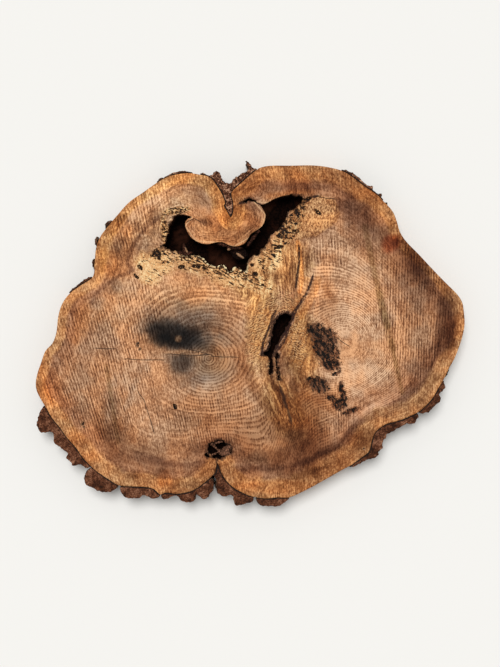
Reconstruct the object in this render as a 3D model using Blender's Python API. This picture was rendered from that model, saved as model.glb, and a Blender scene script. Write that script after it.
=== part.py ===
"""A slice sawn across a tree whose two trunks grew together, lying on its back cut face.

The outlines are read off the sawn face from above, in millimetres from the middle of the slice,
+X to the right and +Y up the face. The trunks run along +Z. Each list runs anticlockwise.
"""

import math
from statistics import mean, median

import bmesh
import bpy
from mathutils import Vector, geometry, noise

MM = 0.001

# The slice, and how far apart the points of its outlines may lie
THICKNESS = 75
LEVELS = (0, 18, 38, 57, THICKNESS)
WOOD_STEP = 12
HOLLOW_STEP = 10
BARK_STEP = 11
SMOOTH_ANGLE = math.radians(40)

# The trunk's side, which leans in towards the back face and is fluted and rippled
SIDE_LEAN = 5
FLUTE_DEPTH = 6
FLUTE_WIDTH = 130
RIPPLE_DEPTH = 2.5
RIPPLE_WIDTH = 38

# The hollows, shallower where they are narrow, with walls that lean in
HOLLOW_DEPTH = 60
SLOT_DEPTH = 50
CRACK_DEPTH = 14
POCKET_DEPTH = 34
SHALLOWEST = 9
DEPTH_TO_WIDTH = 2
WALL_LEAN = 12
LEAN_TO_WIDTH = 0.26
LUMP_WIDTH = 25
NEAR = 2
WIDE = 4

# The bark; the trim is a share of a step along the trunk's side
BARK_GAP = 0.5
BARK_LEAST = 4
BARK_TRIM = 0.12
RIDGE_HEIGHT = 7
RIDGE_WIDTH = 18
RIDGE_LENGTH = 90
PLATE_LENGTH = 22

WOOD = [
    (-112, 437), (-142, 445), (-169, 449), (-195, 447), (-227, 440), (-258, 424), (-298, 396),
    (-339, 367), (-370, 333), (-396, 302), (-418, 273), (-431, 239), (-435, 199), (-440, 159),
    (-475, 134), (-505, 112), (-526, 83), (-537, 48), (-542, 4), (-553, -27), (-573, -49),
    (-586, -85), (-595, -111), (-600, -138), (-597, -161), (-584, -187), (-570, -210),
    (-551, -241), (-535, -260), (-523, -277), (-505, -300), (-487, -320), (-473, -341),
    (-459, -358), (-442, -375), (-425, -389), (-398, -407), (-378, -420), (-361, -427),
    (-333, -428), (-290, -430), (-267, -437), (-251, -452), (-238, -445), (-207, -449),
    (-190, -447), (-167, -442), (-148, -433), (-132, -421), (-113, -405), (-98, -390),
    (-95, -376), (-91, -363), (-86, -372), (-82, -386), (-71, -406), (-48, -430), (-9, -451),
    (19, -459), (49, -462), (74, -459), (109, -459), (141, -446), (173, -430), (205, -412),
    (230, -398), (256, -383), (284, -368), (310, -349), (331, -333), (337, -319), (342, -297),
    (350, -278), (363, -265), (385, -252), (406, -247), (428, -240), (449, -231), (470, -221),
    (485, -209), (503, -191), (517, -172), (527, -154), (542, -129), (557, -98), (570, -75),
    (582, -47), (594, -11), (601, 27), (598, 67), (594, 88), (580, 110), (549, 141), (514, 177),
    (473, 221), (438, 257), (420, 284), (412, 311), (402, 338), (388, 356), (374, 370),
    (354, 390), (321, 412), (286, 439), (259, 455), (232, 463), (197, 469), (161, 471),
    (116, 470), (62, 470), (34, 466), (18, 458), (-14, 431), (-37, 410), (-52, 393), (-47, 367),
    (-47, 341), (-54, 325), (-65, 343), (-74, 358), (-70, 364), (-74, 380), (-89, 408),
]
HOLLOW = [
    (-192, 334), (-204, 331), (-216, 323), (-225, 307), (-229, 293), (-230, 277), (-233, 263),
    (-237, 253), (-251, 243), (-237, 242), (-223, 233), (-204, 229), (-195, 221), (-172, 218),
    (-155, 221), (-137, 216), (-124, 205), (-111, 192), (-97, 189), (-83, 193), (-66, 185),
    (-59, 173), (-46, 183), (-32, 187), (-22, 176), (-10, 174), (-6, 200), (6, 214), (24, 225),
    (39, 239), (51, 259), (59, 276), (78, 290), (91, 305), (103, 325), (106, 342), (120, 347),
    (137, 359), (147, 372), (146, 383), (126, 387), (106, 388), (74, 380), (48, 366), (29, 361),
    (11, 374), (-7, 375), (-27, 363), (-6, 371), (11, 369), (27, 359), (36, 348), (43, 333),
    (42, 318), (34, 301), (18, 289), (3, 280), (-5, 267), (-13, 255), (-28, 246), (-45, 244),
    (-62, 249), (-77, 256), (-97, 255), (-113, 251), (-130, 251), (-151, 259), (-167, 272),
    (-176, 287), (-181, 301), (-181, 314), (-175, 321), (-162, 326), (-179, 332),
]
SLOT = [
    (118, 46), (100, 55), (80, 46), (69, 28), (64, 0), (56, -28), (49, -49), (35, -56),
    (52, -64), (54, -85), (55, -113), (60, -118), (63, -102), (62, -74), (63, -55), (73, -31),
    (86, -11), (98, 10), (108, 29),
]
SLOT_CRACK = [
    (79, -57), (74, -55), (74, -91), (77, -119), (83, -130), (81, -108), (78, -80),
]
POCKET = [
    (-73, -302), (-87, -299), (-105, -305), (-119, -316), (-120, -330), (-125, -344),
    (-116, -347), (-104, -344), (-91, -350), (-81, -349), (-67, -342), (-53, -336), (-50, -323),
    (-59, -311),
]

BARK = {
    "bark_far_left": [
        (-577, -202), (-587, -214), (-593, -232), (-597, -248), (-600, -257), (-594, -266),
        (-586, -278), (-553, -277), (-551, -291), (-550, -305), (-541, -314), (-530, -321),
        (-523, -328), (-511, -334), (-515, -346), (-510, -355), (-501, -362), (-498, -370),
        (-492, -372), (-477, -366), (-469, -371), (-460, -377), (-452, -378),
    ],
    "bark_lower_left": [
        (-452, -381), (-462, -391), (-465, -412), (-456, -427), (-441, -433), (-427, -441),
        (-404, -446), (-384, -441), (-371, -431),
    ],
    "bark_foot_left": [
        (-365, -431), (-361, -447), (-350, -458), (-333, -463), (-312, -461), (-301, -455),
        (-287, -457), (-276, -463), (-261, -461), (-253, -457),
    ],
    "bark_foot_middle": [
        (-249, -458), (-244, -465), (-233, -464), (-218, -457), (-204, -454), (-198, -463),
        (-187, -471), (-176, -474), (-161, -472), (-154, -464), (-154, -454), (-147, -452),
        (-138, -461), (-130, -465), (-118, -460), (-110, -447), (-103, -437), (-100, -413),
    ],
    "bark_foot_right": [
        (-94, -409), (-95, -441), (-84, -452), (-73, -458), (-58, -454), (-48, -452),
        (-45, -478), (-31, -482), (-20, -480), (-9, -474), (2, -474), (10, -468),
    ],
    "bark_foot_end": [
        (17, -468), (27, -482), (53, -484), (74, -485), (87, -480), (100, -472), (111, -462),
    ],
    "bark_right_low": [
        (277, -374), (290, -374), (310, -364), (327, -354), (340, -352), (355, -347),
        (361, -338), (360, -330), (372, -323), (373, -317), (370, -306), (374, -299),
        (382, -291), (381, -282), (395, -278), (404, -272), (412, -265), (430, -259),
        (438, -250), (448, -255), (462, -252), (468, -242), (473, -230),
    ],
    "bark_right_high": [
        (478, -225), (485, -225), (503, -220), (508, -212), (524, -199), (534, -188),
        (533, -175), (528, -169), (539, -162), (549, -147), (543, -139), (542, -131),
    ],
    "bark_top_right": [
        (372, 372), (344, 402), (348, 413), (330, 415), (316, 429), (304, 440), (287, 451),
        (269, 458), (256, 458),
    ],
    "bark_notch": [
        (20, 461), (11, 463), (3, 471), (-2, 480), (-9, 485), (-13, 481), (-8, 472), (-3, 462),
        (-11, 455), (-24, 448), (-36, 439), (-46, 435), (-54, 422), (-67, 422), (-76, 429),
        (-80, 440), (-84, 451), (-95, 455), (-108, 446), (-114, 441), (-120, 445), (-132, 451),
        (-140, 450),
    ],
    "bark_top_left": [
        (-160, 449), (-168, 454), (-188, 456), (-207, 453), (-225, 448), (-241, 435),
    ],
    "bark_shoulder": [
        (-440, 158), (-444, 160), (-468, 150), (-487, 134), (-504, 120), (-507, 113),
    ],
}


def curve_point(before, start, end, after, share):
    """A point between start and end on the smooth curve that also passes before and after."""
    point = 2 * start + (end - before) * share
    point += (2 * before - 5 * start + 4 * end - after) * share**2
    point += (3 * start - before - 3 * end + after) * share**3
    return point / 2


def smooth_points(points, step, closed):
    """The same points with more between them on a smooth curve, at most a step apart."""
    points = [Vector(point) for point in points]
    if not closed:
        points = [points[0]] + points + [points[-1]]
    count = len(points)
    stretches = range(count) if closed else range(1, count - 2)
    smooth = []
    for index in stretches:
        before, start = points[index - 1], points[index]
        end, after = points[(index + 1) % count], points[(index + 2) % count]
        pieces = math.ceil((end - start).length / step)
        for piece in range(pieces):
            smooth.append(curve_point(before, start, end, after, piece / pieces))
    if not closed:
        smooth.append(points[-1])
    return smooth


def outward_normals(loop):
    """At each point of an anticlockwise loop, the direction that points away from its inside."""
    normals = []
    for index in range(len(loop)):
        along = loop[(index + 1) % len(loop)] - loop[index - 1]
        normals.append(Vector((along.y, -along.x)).normalized())
    return normals


def mitres(loop):
    """At each point of a loop, the step that moves both of its edges out by one."""
    steps = []
    for index in range(len(loop)):
        before = (loop[index] - loop[index - 1]).normalized()
        after = (loop[(index + 1) % len(loop)] - loop[index]).normalized()
        both = Vector((before.y + after.y, -before.x - after.x))
        steps.append(both / (1 + before.dot(after)))
    return steps


def side_shift(point, height):
    """How far the trunk's side lies inside the sawn face's outline at a height."""
    below = (THICKNESS - height) / THICKNESS
    flute = noise.noise(Vector((point.x, point.y, 0)) / FLUTE_WIDTH)
    ripple = noise.noise(Vector((point.x, point.y, height)) / RIPPLE_WIDTH)
    return below * (SIDE_LEAN + FLUTE_DEPTH * flute) + RIPPLE_DEPTH * below * ripple


class TrunkSide:
    """The side of the trunk, which the wood ends at and the bark lies on."""

    def __init__(self):
        self.loop = smooth_points(WOOD, WOOD_STEP, closed=True)
        self.normals = outward_normals(self.loop)
        self.mitres = mitres(self.loop)

    def ring(self, height):
        """The outline of the wood at a height."""
        return [
            point - normal * side_shift(point, height)
            for point, normal in zip(self.loop, self.normals)
        ]

    def nearest(self, point):
        """The place on the face's outline that lies nearest a point."""
        best_place, best_gap = 0, math.inf
        for index, start in enumerate(self.loop):
            edge = self.loop[(index + 1) % len(self.loop)] - start
            share = min(max((point - start).dot(edge) / edge.length_squared, 0), 1)
            gap = (point - start - edge * share).length
            if gap < best_gap:
                best_place, best_gap = index + share, gap
        return best_place

    def places_under(self, outer):
        """The places on the side that a stretch of bark covers, from its first to its last."""
        first = self.nearest(outer[0])
        last = self.nearest(outer[-1])
        if last < first:
            last += len(self.loop)
        inner = range(math.ceil(first + 2 * BARK_TRIM), math.ceil(last - 2 * BARK_TRIM))
        return [first + BARK_TRIM, *inner, last - BARK_TRIM]

    def feet(self, outer, places):
        """The place that each point of the bark's outside stands on, among those it covers."""
        feet = []
        for point in outer:
            place = self.nearest(point)
            if places[-1] - place > len(self.loop) / 2:
                place += len(self.loop)
            feet.append(min(max(place, places[0]), places[-1]))
        return feet


def at(values, place):
    """The value of a closed list at a place, which counts its values and the share of the next."""
    index = math.floor(place)
    start = values[index % len(values)]
    end = values[(index + 1) % len(values)]
    return start.lerp(end, place - index)


def add_ring(mesh, points, heights):
    """A ring of vertices from points in the plane and their heights."""
    return [
        mesh.verts.new((point.x * MM, point.y * MM, height * MM))
        for point, height in zip(points, heights)
    ]


def add_wall(mesh, lower, upper):
    """Triangles between two rings with the same number of points."""
    for index in range(len(lower)):
        near_low, far_low = lower[index - 1], lower[index]
        near_high, far_high = upper[index - 1], upper[index]
        mesh.faces.new((near_low, far_low, far_high))
        mesh.faces.new((near_low, far_high, near_high))


def within(point, corners, edges):
    """Whether a point lies inside closed rings of edges, an odd number of them to its right."""
    crossings = 0
    for first, second in edges:
        start, end = corners[first], corners[second]
        if (start.y > point.y) != (end.y > point.y):
            share = (point.y - start.y) / (end.y - start.y)
            crossings += start.x + share * (end.x - start.x) > point.x
    return crossings % 2 == 1


def fill(mesh, *rings):
    """Triangles inside the first ring of vertices and outside the others."""
    vertices = [vertex for ring in rings for vertex in ring]
    corners = [vertex.co.xy / MM for vertex in vertices]
    edges = []
    for ring in rings:
        first = len(edges)
        edges += [(first + index, first + (index + 1) % len(ring)) for index in range(len(ring))]
    triangles = geometry.delaunay_2d_cdt(corners, edges, [], 1, 1e-6)[2]
    for triangle in triangles:
        middle = sum((corners[corner] for corner in triangle), Vector((0, 0))) / 3
        if within(middle, corners, edges):
            mesh.faces.new([vertices[corner] for corner in triangle])


def finish_object(name, mesh, material):
    """An object of this name from a mesh, with its faces pointing out."""
    bmesh.ops.recalc_face_normals(mesh, faces=mesh.faces)
    data = bpy.data.meshes.new(name)
    mesh.to_mesh(data)
    mesh.free()
    data.materials.append(material)
    data.shade_smooth()
    data.set_sharp_from_angle(angle=SMOOTH_ANGLE)
    thing = bpy.data.objects.new(name, data)
    bpy.context.scene.collection.objects.link(thing)
    return thing


def gap_across(loop, index, normal):
    """How far it is from a point of a hollow's rim to the rim on the other side."""
    start, widest = loop[index], THICKNESS
    for other in range(len(loop)):
        following = (other + 1) % len(loop)
        if index in (other, following):
            continue
        edge = loop[following] - loop[other]
        across = -normal.x * edge.y + normal.y * edge.x
        if abs(across) < 1e-9:
            continue
        offset = loop[other] - start
        distance = (offset.x * edge.y - offset.y * edge.x) / across
        share = (-normal.x * offset.y + normal.y * offset.x) / across
        if distance > 0 and 0 <= share <= 1:
            widest = min(widest, distance)
    return widest


def around(values, index, reach):
    """The values within reach of an index in a closed list."""
    return [values[(index + step) % len(values)] for step in range(-reach, reach + 1)]


def wall_leans(loop, widths):
    """How far the walls lean in at each point of a rim: less in a tongue, a crack or a corner."""
    room = []
    for index, width in enumerate(widths):
        corner = (loop[(index + NEAR) % len(loop)] - loop[index - NEAR]).length
        room.append(min(width, corner))
    tight = [min(around(room, index, NEAR)) for index in range(len(loop))]
    calm = [mean(around(tight, index, NEAR)) for index in range(len(loop))]
    return [min(width * LEAN_TO_WIDTH, WALL_LEAN) for width in calm]


def wall_depths(widths, deepest):
    """How deep the hollow goes at each point of a rim: less where it is narrow."""
    depths = []
    for index in range(len(widths)):
        depth = median(around(widths, index, WIDE)) * DEPTH_TO_WIDTH
        depths.append(max(min(depth, deepest), SHALLOWEST))
    return [mean(around(depths, index, WIDE)) for index in range(len(depths))]


def cut_hollow(mesh, outline, deepest, steps):
    """The walls and floor of a hollow with leaning sides. Returns the ring of its rim."""
    loop = smooth_points(outline, HOLLOW_STEP, closed=True)
    normals = outward_normals(loop)
    widths = [gap_across(loop, index, normal) for index, normal in enumerate(normals)]
    leans = wall_leans(loop, widths)
    depths = wall_depths(widths, deepest)
    rings = [add_ring(mesh, loop, [THICKNESS] * len(loop))]
    for step in range(1, steps + 1):
        share = step / steps
        points = []
        for point, normal, lean in zip(loop, normals, leans):
            lump = noise.noise(Vector((point.x, point.y, share * THICKNESS)) / LUMP_WIDTH)
            points.append(point - normal * lean * share * min(1 + lump, 1))
        rings.append(add_ring(mesh, points, [THICKNESS - share * depth for depth in depths]))
        add_wall(mesh, rings[-1], rings[-2])
    fill(mesh, rings[-1])
    return rings[0]


def make_wood(side, material):
    """The slice: its fluted side, its two sawn faces and the hollows in the upper one."""
    mesh = bmesh.new()
    lower = add_ring(mesh, side.ring(0), [0] * len(side.loop))
    fill(mesh, lower)
    for height in LEVELS[1:]:
        upper = add_ring(mesh, side.ring(height), [height] * len(side.loop))
        add_wall(mesh, lower, upper)
        lower = upper
    rims = [
        cut_hollow(mesh, HOLLOW, HOLLOW_DEPTH, 4),
        cut_hollow(mesh, SLOT, SLOT_DEPTH, 3),
        cut_hollow(mesh, SLOT_CRACK, CRACK_DEPTH, 1),
        cut_hollow(mesh, POCKET, POCKET_DEPTH, 3),
    ]
    fill(mesh, upper, *rims)
    return finish_object("wood", mesh, material)


def ridge(distance, height):
    """How far the bark's outside stands out or falls back: ridges up the trunk, cracked across."""
    tall = noise.noise(Vector((distance / RIDGE_WIDTH, 0, height / RIDGE_LENGTH)))
    across = noise.noise(Vector((distance / RIDGE_LENGTH, height / PLATE_LENGTH, 0)))
    below = min((THICKNESS - height) / PLATE_LENGTH, 1)
    return RIDGE_HEIGHT * below * (tall + across / 2)


def outside_of_bark(side, ring, outer, feet, height):
    """The bark's outside at a height, from its last point to its first."""
    points = []
    for number, (point, place) in enumerate(zip(outer, feet)):
        out = at(side.normals, place).normalized()
        reach = point - at(side.loop, place)
        thin = BARK_LEAST - reach.dot(out)
        if thin > 0:
            reach += out * thin
        wave = max(ridge(number * BARK_STEP, height), (BARK_LEAST - reach.length) / 2)
        points.append(at(ring, place) + reach + out * wave)
    return points[::-1]


def make_bark(name, outline, side, material):
    """A stretch of bark: its inside follows the trunk's side and its outside is ridged."""
    outer = smooth_points(outline, BARK_STEP, closed=False)
    places = side.places_under(outer)
    feet = side.feet(outer, places)
    mesh = bmesh.new()
    rings = []
    for height in LEVELS:
        wood = side.ring(height)
        inside = [at(wood, place) + at(side.mitres, place) * BARK_GAP for place in places]
        points = inside + outside_of_bark(side, wood, outer, feet, height)
        rings.append(add_ring(mesh, points, [height] * len(points)))
    for lower, upper in zip(rings, rings[1:]):
        add_wall(mesh, lower, upper)
    fill(mesh, rings[0])
    fill(mesh, rings[-1])
    return finish_object(name, mesh, material)


def new_material(name, colour, roughness):
    """A plain finish with a colour and a roughness."""
    material = bpy.data.materials.new(name)
    material.use_nodes = True
    shader = material.node_tree.nodes["Principled BSDF"]
    shader.inputs["Base Color"].default_value = (*colour, 1)
    shader.inputs["Roughness"].default_value = roughness
    shader.inputs["Metallic"].default_value = 0
    return material


def main():
    for thing in list(bpy.data.objects):
        bpy.data.objects.remove(thing, do_unlink=True)
    sawn_wood = new_material("sawn_wood", (0.39, 0.19, 0.09), 0.7)
    rough_bark = new_material("rough_bark", (0.1, 0.04, 0.018), 0.9)
    side = TrunkSide()
    make_wood(side, sawn_wood)
    for name, outline in BARK.items():
        make_bark(name, outline, side, rough_bark)


main()
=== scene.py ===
"""The looks of the wood slice: its fine surface, its materials, the light and the camera.

Places and sizes are in millimetres from the middle of the slice, +X to the right and +Y up the sawn
face, unless a comment says otherwise. Blender's own numbers are in metres.
"""

import math

import bmesh
import bpy
import numpy as np
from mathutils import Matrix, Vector, geometry, kdtree, noise


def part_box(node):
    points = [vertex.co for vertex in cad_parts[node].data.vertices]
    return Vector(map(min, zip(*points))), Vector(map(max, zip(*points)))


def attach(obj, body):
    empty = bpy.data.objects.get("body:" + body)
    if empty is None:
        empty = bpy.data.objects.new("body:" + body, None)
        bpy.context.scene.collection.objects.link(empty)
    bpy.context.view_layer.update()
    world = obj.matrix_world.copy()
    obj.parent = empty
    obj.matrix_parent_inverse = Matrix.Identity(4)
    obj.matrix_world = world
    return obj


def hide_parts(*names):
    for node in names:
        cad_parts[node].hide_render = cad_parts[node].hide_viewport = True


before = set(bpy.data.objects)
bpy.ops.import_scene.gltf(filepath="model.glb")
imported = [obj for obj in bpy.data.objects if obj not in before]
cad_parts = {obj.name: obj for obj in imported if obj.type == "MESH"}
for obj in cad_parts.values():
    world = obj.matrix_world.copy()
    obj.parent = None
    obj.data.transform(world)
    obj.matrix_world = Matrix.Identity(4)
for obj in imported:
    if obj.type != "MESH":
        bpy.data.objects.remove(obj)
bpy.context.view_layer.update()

MM = 0.001
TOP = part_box("wood")[1].z / MM
SEED = 7

# Camera, light and floor. The floor's size is in metres.
CAMERA_HEIGHT = 3000
PHOTO_HEIGHT = 667
MM_PER_PIXEL = 2.8
SENSOR = 36
WORLD_LIGHT = 0.45
KEY_LIGHT = 2.1
KEY_SOFTNESS = 30
KEY_FROM = (-0.12, 0.36, 1.0)
FLOOR_SIZE = 240

# Spacing of the fine mesh
FACE_STEP = 4.4
FINE_STEP = 2.2
BACK_STEP = 40
FINE_RIM = 11
ROW_OFFSET = 0.37
JITTER = 0.18
LONG_EDGE = 5
WALL_CUTS = 2
BARK_VOXEL = 2.8
ON_EDGE = 0.2

# The order of the slice's materials
ON_FACE, ON_SIDE, IN_HOLLOW, ON_BACK = range(4)

# How deep the fine surface is worn or how far it bulges
PIT_DEPTH = 6
SPONGE_DEPTH = 2.2
ROT_DEPTH = 1.2
GROOVE_DEPTH = 1.6
RIM_LUMPS = 1.4
SAW_RIPPLE = 0.12
WALL_ROUGH = 2.4
FLOOR_ROUGH = 3

# The point that the saw marks curve about, far below the slice, and how far apart they are
SAW_PIVOT = (350, -2800)
SAW_PITCH = 7.6

# The two piths and the middle of the curl: x, y, and how far out the rings begin there
PITHS = ((-115, -71, 0), (269, -27, 0), (-126, 312, 90))

# How many rings there are from a pith to the edge at the left, and how many more at the right
RINGS_LEFT = 34
MORE_RINGS_RIGHT = 26

# Where the bark grew inwards or the wood healed round the hollow, so that rings follow it too
HEALED_EDGE = [
    (-230, 277), (-216, 323), (-192, 334), (-162, 326), (-181, 301), (-151, 259), (-97, 255),
    (-45, 244), (-5, 267), (34, 301), (43, 333), (11, 369), (48, 366), (106, 388),
]

# How wide the sapwood is round the edge: x, y, width
SAPWOOD = (
    (-448, 150, 28), (-493, 66, 25), (-532, -46, 25), (-582, -144, 28), (-526, -242, 36),
    (-420, -326, 45), (-308, -388, 39), (-196, -421, 45), (-126, -382, 34), (-42, -410, 45),
    (42, -433, 56), (168, -405, 56), (266, -340, 56), (378, -276, 50), (476, -209, 48),
    (546, -102, 45), (582, -4, 25), (574, 94, 34), (504, 164, 22), (420, 276, 28),
    (378, 374, 39), (280, 435, 42), (140, 463, 45), (28, 441, 39), (-98, 413, 34),
    (-210, 424, 28), (-336, 346, 25), (-426, 234, 39),
)

# The colours of a kind of wood or bark where its pattern is dark, middling and light
HEARTWOOD = ((0.12, 0.042, 0.018), (0.4, 0.19, 0.09), (0.8, 0.47, 0.26))
GOLDEN_SAPWOOD = ((0.13, 0.04, 0.012), (0.43, 0.182, 0.066), (0.9, 0.5, 0.22))
CROTCH_WOOD = ((0.12, 0.038, 0.012), (0.42, 0.19, 0.066), (0.95, 0.58, 0.24))
SPONGY_WOOD = ((0.26, 0.095, 0.03), (0.78, 0.42, 0.17), (1.0, 0.76, 0.4))
BURL_WOOD = ((0.11, 0.036, 0.012), (0.43, 0.18, 0.066), (0.86, 0.48, 0.2))
CUT_BARK = ((0.022, 0.007, 0.003), (0.118, 0.038, 0.016), (0.34, 0.16, 0.09))

# What a stain does to the wood's colour, for red, green and blue
TONES = {
    "pale": (1.3, 1.36, 1.42),
    "gold": (1.16, 0.98, 0.7),
    "orange": (1.2, 0.86, 0.52),
    "brown": (0.42, 0.33, 0.28),
    "purple": (0.4, 0.32, 0.32),
    "umber": (0.6, 0.48, 0.38),
    "grey": (0.6, 0.68, 0.8),
    "olive": (0.6, 0.57, 0.45),
    "tan": (1.08, 1.28, 1.44),
    "black": (0.05, 0.06, 0.085),
    "red": (0.8, 0.38, 0.22),
    "bare": (1.0, 0.95, 0.85),
    "bright": (1.32, 1.24, 1.12),
}

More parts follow.
